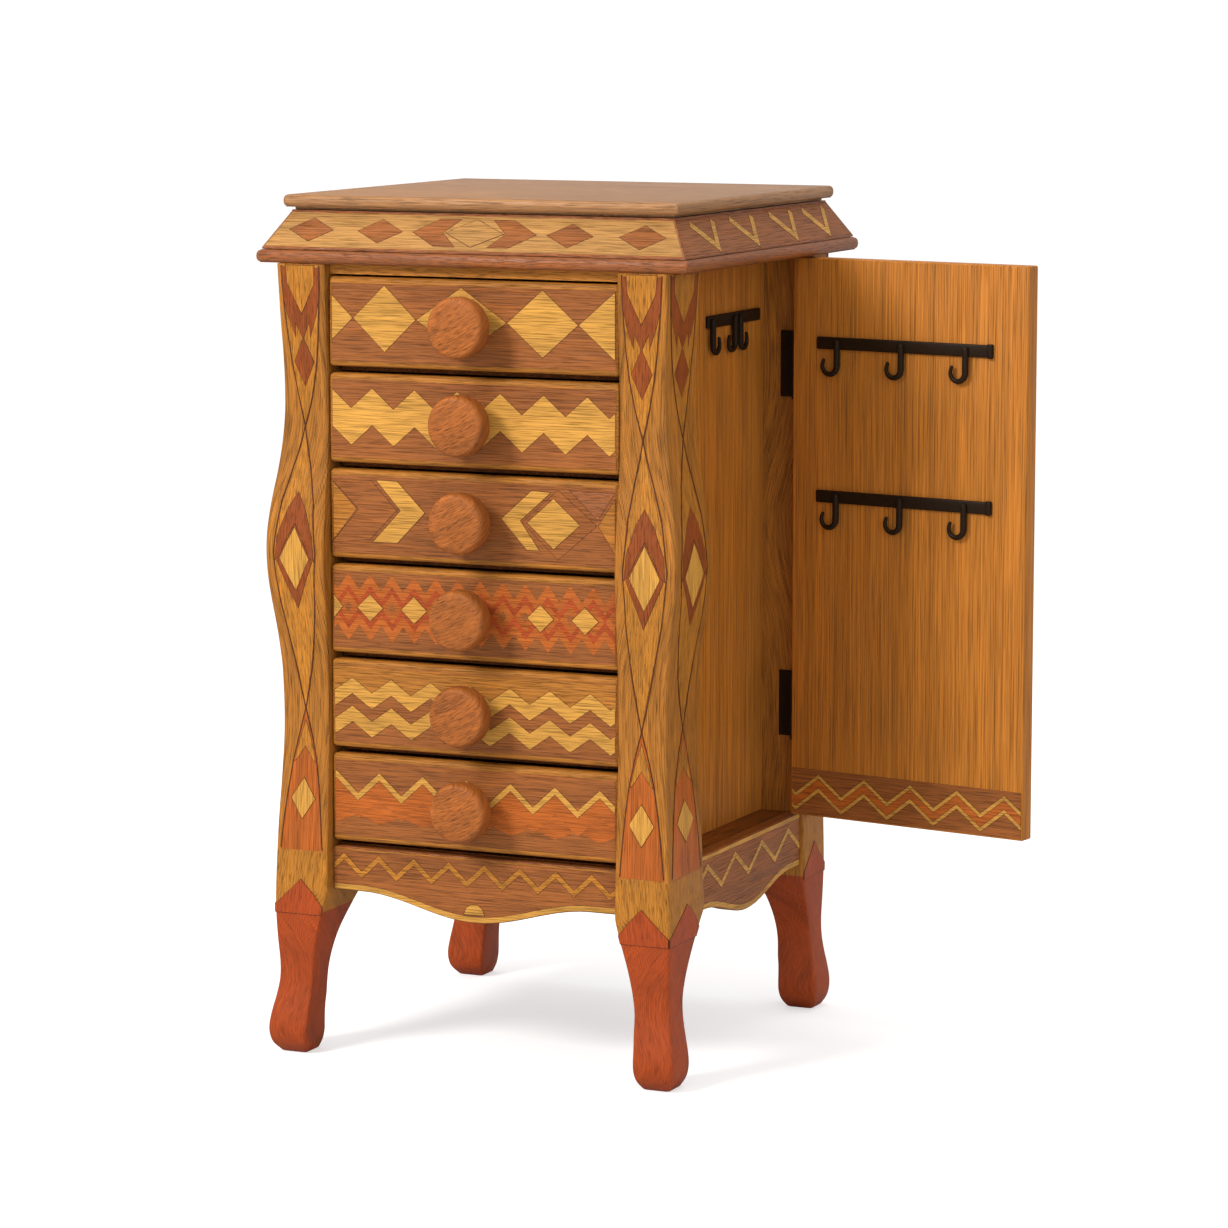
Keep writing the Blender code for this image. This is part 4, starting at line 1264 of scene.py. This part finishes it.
def apron_board(half, top, end, drop, thick, surface):
    """The apron as a smooth board with its scalloped lower edge."""
    bm = bmesh.new()
    steps = 72
    rows = [-half + 2 * half * i / steps for i in range(steps + 1)]
    rings = []
    round_by = 0.6
    for x in rows:
        bottom = apron_bottom(x, half, end, drop)
        ring = []
        for up, out in ((top, -round_by), (top - round_by, 0.0), (bottom + round_by, 0.0),
                        (bottom, -round_by), (bottom, -thick), (top, -thick)):
            ring.append(bm.verts.new((x, up, out)))
        rings.append(ring)
    for left, right in zip(rings, rings[1:]):
        for i in range(len(left)):
            bm.faces.new((left[i - 1], left[i], right[i], right[i - 1]))
    bm.faces.new(list(reversed(rings[0])))
    bm.faces.new(rings[-1])
    bmesh.ops.recalc_face_normals(bm, faces=bm.faces[:])
    bm.normal_update()
    for face in bm.faces:
        face.material_index = wood_index("edge")
    map_grain(bm, bm.faces[:], (1, 0, 0))
    for vert in bm.verts:
        vert.co = surface(*vert.co)
    bmesh.ops.recalc_face_normals(bm, faces=bm.faces[:])
    return bm


def apron_inlay(inlay, half, top, end, drop, wide_top):
    """Brown field with a zigzag, and a golden strip along the scallop."""
    steps = 60
    strip = 2.6
    xs = [-half + 2 * half * i / steps for i in range(steps + 1)]
    scallop = [(x, apron_bottom(x, half + 0.8, end, drop) + 0.5) for x in xs]
    upper = [(x, y + strip) for x, y in scallop]
    inlay.field(scallop + upper[::-1], "golden")
    head = top - (wide_top + 0.9)
    inlay.field([(x, y + 0.35) for x, y in upper] + [(half, head), (-half, head)], "brown")
    inlay.field([(-half, head + 0.35), (half, head + 0.35), (half, top - 0.7),
                 (-half, top - 0.7)], "golden" if wide_top > 1.5 else "border")


class CHEST_OT_aprons(bpy.types.Operator):
    """Cut the scalloped aprons and lay their veneers"""
    bl_idname = "chest.aprons"
    bl_label = "Aprons"

    def execute(self, context):
        for word in ("front", "left", "right"):
            low, high = extent(f"apron_{word}")
            is_front = word == "front"
            apron_peak = -17.6
            half = high.x if is_front else high.y
            top = high.z
            end, drop = (84.5, 10.8) if is_front else (79.5, 9.8)
            if is_front:
                def surface(across, up, out, face=low.y):
                    return Vector((across, face - out, up))
            elif word == "right":
                def surface(across, up, out, face=high.x):
                    return Vector((face + out, across, up))
            else:
                def surface(across, up, out, face=low.x):
                    return Vector((face - out, -across, up))
            bm = apron_board(half, top, end, drop, 7.0, surface)
            new_piece(f"apron_{word}_board", bm, "chest",
                      replaced=[f"apron_{word}"], smooth=40)
            inlay = Inlay(f"apron{word}")
            inner = half - 0.8
            apron_inlay(inlay, inner, top, end, drop, 1.0 if is_front else 2.2)
            if is_front:
                inlay.zigzag(top - 9.2, 8.8, 3.3, "post_light", (-inner, inner), 9.7, peak=-13.8)
                inlay.motif([(-5.5, 78.0), (5.5, 78.0), (4.4, 81.0), (1.8, 83.0), (-1.8, 83.0),
                             (-4.4, 81.0)], "golden")
            else:
                inlay.zigzag(top - 12.6, 12.0, 3.2, "golden", (-inner, inner), 17.6,
                             peak=apron_peak)
            inlay.finish(f"apron_{word}_inlay", "chest", surface)
        return {"FINISHED"}


# ---------------------------------------------------------------- doors
def door_place(word):
    """Moves a door piece from closed to where the door is at rest."""
    if word == "left":
        return None
    pin = PIN[word]
    return (Matrix.Translation(pin) @ Matrix.Rotation(RIGHT_DOOR_OPEN, 4, "Z")
            @ Matrix.Translation(-pin))


def outer_pattern(inlay, half_across, low, high):
    """The outside of a door: a brown frame, a golden field, and a column of diamonds."""
    frame_width = 9.0
    inlay.field([(-half_across, low), (half_across, low), (half_across, high),
                 (-half_across, high)], "brown")
    inner = half_across - frame_width
    bottom, top = low + frame_width, high - frame_width
    inlay.motif([(-inner, bottom), (inner, bottom), (inner, top), (-inner, top)], "golden", 1)
    count = 5
    pitch = (top - bottom) / count
    for i in range(count):
        y = bottom + pitch * (i + 0.5)
        inlay.diamond(0.0, y, inner * 0.62, pitch * 0.49, "brown" if i % 2 else "orange", 2)
        inlay.diamond(0.0, y, inner * 0.34, pitch * 0.27, "golden", 3)
        for side in (-1, 1):
            inlay.motif([(side * inner, y + pitch * 0.5), (side * inner * 0.70, y + pitch * 0.0),
                         (side * inner, y - pitch * 0.5)], "terracotta", 2)


class CHEST_OT_doors(bpy.types.Operator):
    """Make the side doors with their bands, veneers and knobs"""
    bl_idname = "chest.doors"
    bl_label = "Doors"

    def execute(self, context):
        band = context.scene.chest_sizes.door_band / MM
        for side, word in ((1, "right"), (-1, "left")):
            placed = door_place(word)
            inner_x, outer_x = side * DOOR_X[0], side * DOOR_X[1]
            xs = sorted((inner_x, outer_x))
            bm = bmesh.new()
            board(bm, (xs[0], DOOR_Y[0], DOOR_Z[0]), (xs[1], DOOR_Y[1] - 1.5, DOOR_Z[1]), 0.9,
                  "panel", (0, 0, 1))
            new_piece(f"door_{word}_board", bm, f"door_{word}",
                      replaced=[f"door_{word}"], placed=placed)
            middle = (DOOR_Y[0] + DOOR_Y[1] - 1.5) / 2
            half = (DOOR_Y[1] - 1.5 - DOOR_Y[0]) / 2 - 1.0

            def inside(across, up, out):
                return Vector((side * (DOOR_X[0] - out), middle + across, up))

            def outside(across, up, out):
                return Vector((side * (DOOR_X[1] + out), middle + across, up))

            inlay = Inlay(f"band{word}")
            low = DOOR_Z[0] + 1.0
            inlay.field([(-half, low), (half, low), (half, low + band), (-half, low + band)],
                        "brown")
            for width, finish, level in ((9.2, "golden", 1), (4.3, "orange", 2)):
                inlay.zigzag(low + band * 0.48, 10.4, width, finish, (-half, half), 13.6,
                             peak=-3.2, level=level)
            inlay.finish(f"door_{word}_band", f"door_{word}", inside, placed=placed)

            inlay = Inlay(f"outer{word}", along="up")
            outer_pattern(inlay, half, DOOR_Z[0] + 1.0, DOOR_Z[1] - 1.0)
            inlay.finish(f"door_{word}_outer_inlay", f"door_{word}", outside, placed=placed)

            seat = Vector((outer_x, DOOR_Y[0] + 22.0, (DOOR_Z[0] + DOOR_Z[1]) / 2))
            knob = turned(knob_profile(9.3, 13.2), seat, (side, 0, 0), segments=40)
            new_piece(f"door_knob_{word}_turned", knob, f"door_{word}",
                      replaced=[f"door_knob_{word}"], placed=placed, smooth=40)
        return {"FINISHED"}


# ---------------------------------------------------------------- ironwork
def tube(bm, path, sides=14):
    """A closed round tube along a path of (place, radius) in a plane across Y."""
    rings = []
    for i, (place, radius) in enumerate(path):
        before = path[max(i - 1, 0)][0]
        after = path[min(i + 1, len(path) - 1)][0]
        forward = (Vector(after) - Vector(before)).normalized()
        out = Vector((0, 1, 0))
        side = forward.cross(out).normalized()
        rings.append([bm.verts.new(
            Vector(place) + side * radius * math.cos(2 * math.pi * k / sides)
            + out * radius * math.sin(2 * math.pi * k / sides)) for k in range(sides)])
    for low, high in zip(rings, rings[1:]):
        for k in range(sides):
            bm.faces.new((low[k - 1], low[k], high[k], high[k - 1]))
    bm.faces.new(list(reversed(rings[0])))
    bm.faces.new(rings[-1])


def hook_path(place, side, out, drop, bend, wire):
    """A hook's stem, bend and rounded tip."""
    path = [((place, out, 1.6), wire * 0.75), ((place, out, 1.2), wire * 0.95)]
    for i in range(6):
        path.append(((place, out, -drop * i / 5), wire))
    for i in range(1, 19):
        angle = math.pi * 1.06 * i / 18
        path.append(((place + side * bend * (1 - math.cos(angle)), out,
                      -drop - bend * math.sin(angle)), wire * (1.0 - 0.022 * i)))
    tip = path[-1][0]
    path.append(((tip[0] - side * 0.35, out, tip[2] + 1.4), wire * 0.56))
    path.append(((tip[0] - side * 0.75, out, tip[2] + 2.3), wire * 0.52))
    path.append(((tip[0] - side * 0.95, out, tip[2] + 2.7), wire * 0.30))
    return path


def hook_rail(length, hooks, cap=None):
    """A flat bar with bent hooks. X runs along it, Y out of its seat, Z up."""
    bm = bmesh.new()
    board(bm, (0.0, 0.0, -3.15), (length, 1.8, 3.15), 0.7, "golden", (1, 0, 0))
    if cap is not None:
        board(bm, (cap - 1.5, -0.05, -3.6), (cap + 1.5, 2.2, 3.6), 0.6, "golden", (1, 0, 0))
    for place, side in hooks:
        tube(bm, hook_path(place, side, 2.5, 11.4, 4.2, 1.62))
    for face in bm.faces:
        face.material_index = 0
    bmesh.ops.recalc_face_normals(bm, faces=bm.faces[:])
    return bm


class CHEST_OT_ironwork(bpy.types.Operator):
    """Forge the hook rails and set the hinge screws"""
    bl_idname = "chest.ironwork"
    bl_label = "Hooks and hinges"

    def execute(self, context):
        for side, word in ((1, "right"), (-1, "left")):
            self.door_rails(side, word)
            self.recess_rail(side, word)
            self.screws(context, side, word)
        for name, node in frame["nodes"].items():
            if "hinge" in name:
                for slot in node.material_slots:
                    slot.material = bpy.data.materials["forged_iron"]
        return {"FINISHED"}

    def door_rails(self, side, word):
        length = 102.0
        hooks = [(at if side > 0 else length - at, side) for at in (15.0, 52.0, 89.5)]
        heights = {}
        for level in ("upper", "lower"):
            high = extent(f"door_hooks_left_{level}")[1]
            heights[level] = high.z - 3.15
        start_y = span("door_hooks_left_upper", 1)
        seat_x = side * (DOOR_X[0] - 0.05)
        for level, z in heights.items():
            bm = hook_rail(length, hooks, cap=1.7 if side > 0 else length - 1.7)
            y = start_y[0] if side > 0 else start_y[1]
            seat = (Matrix.Translation((seat_x, y, z))
                    @ Matrix.Rotation(side * math.pi / 2, 4, "Z"))
            bmesh.ops.transform(bm, matrix=seat, verts=bm.verts[:])
            name = f"door_hooks_{word}_{level}"
            new_piece(f"{name}_forged", bm, f"door_{word}", woods=["forged_iron"],
                      replaced=[name], placed=door_place(word), smooth=45)

    def recess_rail(self, side, word):
        length = 68.0
        hooks = [(4.0, 1), (32.5, -1), (39.5, 1)]
        if side > 0:
            hooks = [(length - at, -bend) for at, bend in hooks]
        low, high = extent(f"recess_hooks_{word}")
        seat_x = low.x - 0.25 if side > 0 else high.x + 0.25
        y = high.y if side > 0 else low.y
        bm = hook_rail(length, hooks)
        seat = (Matrix.Translation((seat_x, y, high.z - 3.15))
                @ Matrix.Rotation(-side * math.pi / 2, 4, "Z"))
        bmesh.ops.transform(bm, matrix=seat, verts=bm.verts[:])
        new_piece(f"recess_hooks_{word}_forged", bm, "chest",
                  woods=["forged_iron"], replaced=[f"recess_hooks_{word}"], smooth=45)

    def screws(self, context, side, word):
        tree = tree_named("screw_row", screw_tree)
        for level in ("upper", "lower"):
            low, high = extent(f"hinge_post_leaf_{word}_{level}")
            mesh = run_tree(tree, {
                "Count": 3, "Spacing": 11.0, "Radius": context.scene.chest_sizes.screw / MM,
                "Finish": bpy.data.materials["forged_iron"]})
            bm = bmesh.new()
            bm.from_mesh(mesh)
            bpy.data.meshes.remove(mesh)
            x = side * 95.5
            move = (Matrix.Translation((x, high.y - 0.8, (low.z + high.z) / 2 - 11.0))
                    @ Matrix.Diagonal((1.0, 0.4, 1.0, 1.0)))
            bmesh.ops.transform(bm, matrix=move, verts=bm.verts[:])
            new_piece(f"hinge_screws_{word}_{level}", bm, "chest",
                      woods=["forged_iron"], smooth=40)


# ---------------------------------------------------------------- carcass and tray
class CHEST_OT_carcass(bpy.types.Operator):
    """Finish the boards, panels, drawer boxes and mirror that keep their plain shape"""
    bl_idname = "chest.carcass"
    bl_label = "Carcass"

    def execute(self, context):
        finishes = {
            "inner_panel": "panel_upright", "back_panel": "panel_upright",
            "bottom_board": "dark_board", "divider": "dark_board", "top_rail": "plain_across",
            "drawer_box": "plain_deep", "lid_mirror": "mirror"}
        for name, node in frame["nodes"].items():
            for start, finish in finishes.items():
                if name.startswith(start):
                    for slot in node.material_slots:
                        slot.material = bpy.data.materials[finish]
        return {"FINISHED"}


class CHEST_OT_cushion(bpy.types.Operator):
    """Lay the velvet ring rolls in the tray"""
    bl_idname = "chest.cushion"
    bl_label = "Ring cushion"

    def execute(self, context):
        low, high = extent("ring_cushion")
        count = context.scene.chest_sizes.rolls
        depth = high.y - low.y
        spacing = depth / count
        radius = spacing / 2 - 0.05
        mesh = run_tree(tree_named("ring_rolls", roll_tree), {
            "Count": count, "Spacing": spacing, "Radius": radius,
            "Length": high.x - low.x - 1.0, "Finish": bpy.data.materials["wine_velvet"]})
        bm = bmesh.new()
        bm.from_mesh(mesh)
        bpy.data.meshes.remove(mesh)
        move = Matrix.Translation(((low.x + high.x) / 2, low.y + spacing / 2,
                                   high.z - radius))
        bmesh.ops.transform(bm, matrix=move, verts=bm.verts[:])
        board(bm, (low.x, low.y, low.z), (high.x, high.y, high.z - radius * 1.25), 0.8,
              "golden", (1, 0, 0))
        for face in bm.faces:
            face.material_index = 0
        cushion = new_piece("ring_cushion_rolls", bm, "chest", woods=["wine_velvet"],
                            replaced=["ring_cushion"], smooth=60)
        bm = bmesh.new()
        board(bm, (-3.0, low.y, low.z), (94.0, high.y, low.z + 0.9), 0.3, "golden", (1, 0, 0))
        new_piece("tray_lining", bm, "chest", woods=["wine_velvet"])
        return {"FINISHED"}


# ---------------------------------------------------------------- stage
VIEW_AZIMUTH = math.radians(24.2)
VIEW_FALL = math.radians(8.0)
VIEW_DISTANCE = 2307.1
AIM_ASIDE = 25.1
AIM_HEIGHT = 214.2
LENS = 132.5
SENSOR = 36.0


def area_light(name, place, aim, size, power, tint=(1.0, 1.0, 1.0)):
    light = bpy.data.lights.new(name, "AREA")
    light.shape = "DISK"
    light.size = size
    light.energy = power
    light.color = tint
    lamp = bpy.data.objects.new(name, light)
    bpy.context.scene.collection.objects.link(lamp)
    lamp.location = place
    lamp.rotation_euler = (Vector(aim) - Vector(place)).to_track_quat("-Z", "Y").to_euler()
    return lamp


class CHEST_OT_stage(bpy.types.Operator):
    """Set the floor, the lights and the camera"""
    bl_idname = "chest.stage"
    bl_label = "Stage"

    def execute(self, context):
        scene = context.scene
        bm = bmesh.new()
        bmesh.ops.create_grid(bm, x_segments=1, y_segments=1, size=6.0)
        mesh = bpy.data.meshes.new("floor")
        bm.to_mesh(mesh)
        bm.free()
        material, made, shader = new_material("pale_floor", (0.97, 0.97, 0.97))
        place = made.add("ShaderNodeTexCoord").outputs["Object"]
        specks = made.add("ShaderNodeGroup", node_tree=bpy.data.node_groups["specks"])
        made.link(place, specks.inputs["Vector"])
        specks.inputs["Scale"].default_value = 3.0
        specks.inputs["Low"].default_value = 0.80
        specks.inputs["High"].default_value = 0.88
        made.link(specks.outputs["Mask"], shader.inputs["Roughness"])
        shader.inputs["Base Color"].default_value = (0.62, 0.62, 0.62, 1.0)
        shader.inputs["Specular IOR Level"].default_value = 0.05
        shader.inputs["Emission Color"].default_value = (1.0, 1.0, 1.0, 1.0)
        seen = made.add("ShaderNodeLightPath").outputs["Is Camera Ray"]
        made.link(made.math("MULTIPLY", seen, 0.53), shader.inputs["Emission Strength"])
        mesh.materials.append(material)
        floor = bpy.data.objects.new("floor", mesh)
        scene.collection.objects.link(floor)

        world = bpy.data.worlds.new("studio")
        world.use_nodes = True
        backdrop = world.node_tree.nodes["Background"]
        backdrop.inputs["Color"].default_value = (1.0, 1.0, 1.0, 1.0)
        made = Nodes(world.node_tree)
        seen = made.add("ShaderNodeLightPath").outputs["Is Camera Ray"]
        strength = made.add("ShaderNodeMapRange", {"Value": seen, "To Min": 0.78, "To Max": 1.05})
        made.link(strength.outputs[0], backdrop.inputs["Strength"])
        scene.world = world
        scene.view_settings.view_transform = "Standard"

        aim = CABINET + Vector((0.05, 0.0, 0.2))
        area_light("key", (-0.75, -1.5, 1.35), aim, 0.55, 31.0, (1.0, 0.98, 0.95))
        area_light("fill", (1.5, -1.4, 0.9), aim, 1.4, 7.0)
        area_light("over", (0.1, 0.2, 2.0), aim, 1.2, 9.0)

        aside = Vector((math.cos(VIEW_AZIMUTH), math.sin(VIEW_AZIMUTH), 0.0)) * AIM_ASIDE
        target = CABINET + (aside + Vector((0, 0, AIM_HEIGHT))) * MM
        forward = Vector((-math.sin(VIEW_AZIMUTH) * math.cos(VIEW_FALL),
                          math.cos(VIEW_AZIMUTH) * math.cos(VIEW_FALL), -math.sin(VIEW_FALL)))
        data = bpy.data.cameras.new("camera")
        data.lens = LENS
        data.sensor_width = SENSOR
        data.clip_end = 50.0
        camera = bpy.data.objects.new("camera", data)
        scene.collection.objects.link(camera)
        camera.location = target - forward * VIEW_DISTANCE * MM
        camera.rotation_euler = forward.to_track_quat("-Z", "Y").to_euler()
        scene.camera = camera
        return {"FINISHED"}


class CHEST_PT_panel(bpy.types.Panel):
    """The chest's pieces, sizes and colours"""
    bl_idname = "CHEST_PT_panel"
    bl_label = "Jewelry Chest"
    bl_space_type = "VIEW_3D"
    bl_region_type = "UI"
    bl_category = "Jewelry Chest"

    def draw(self, context):
        layout = self.layout
        for operator in OPERATORS:
            layout.operator(operator.bl_idname)
        for group in (context.scene.chest_sizes, context.scene.chest_colours):
            column = layout.column(align=True)
            for key in group.__annotations__:
                column.prop(group, key)


OPERATORS = (
    CHEST_OT_finishes, CHEST_OT_posts, CHEST_OT_top, CHEST_OT_drawers, CHEST_OT_aprons,
    CHEST_OT_doors, CHEST_OT_ironwork, CHEST_OT_carcass, CHEST_OT_cushion, CHEST_OT_stage)
CLASSES = (ChestSizes, ChestColours, *OPERATORS, CHEST_PT_panel)


def register():
    for cls in CLASSES:
        bpy.utils.register_class(cls)
    bpy.types.Scene.chest_sizes = PointerProperty(type=ChestSizes)
    bpy.types.Scene.chest_colours = PointerProperty(type=ChestColours)


def unregister():
    del bpy.types.Scene.chest_colours
    del bpy.types.Scene.chest_sizes
    for cls in reversed(CLASSES):
        bpy.utils.unregister_class(cls)


def main():
    register()
    bpy.ops.chest.finishes()
    bpy.ops.chest.posts()
    bpy.ops.chest.top()
    bpy.ops.chest.drawers()
    bpy.ops.chest.aprons()
    bpy.ops.chest.doors()
    bpy.ops.chest.ironwork()
    bpy.ops.chest.carcass()
    bpy.ops.chest.cushion()
    bpy.ops.chest.stage()


if __name__ == "__main__":
    main()
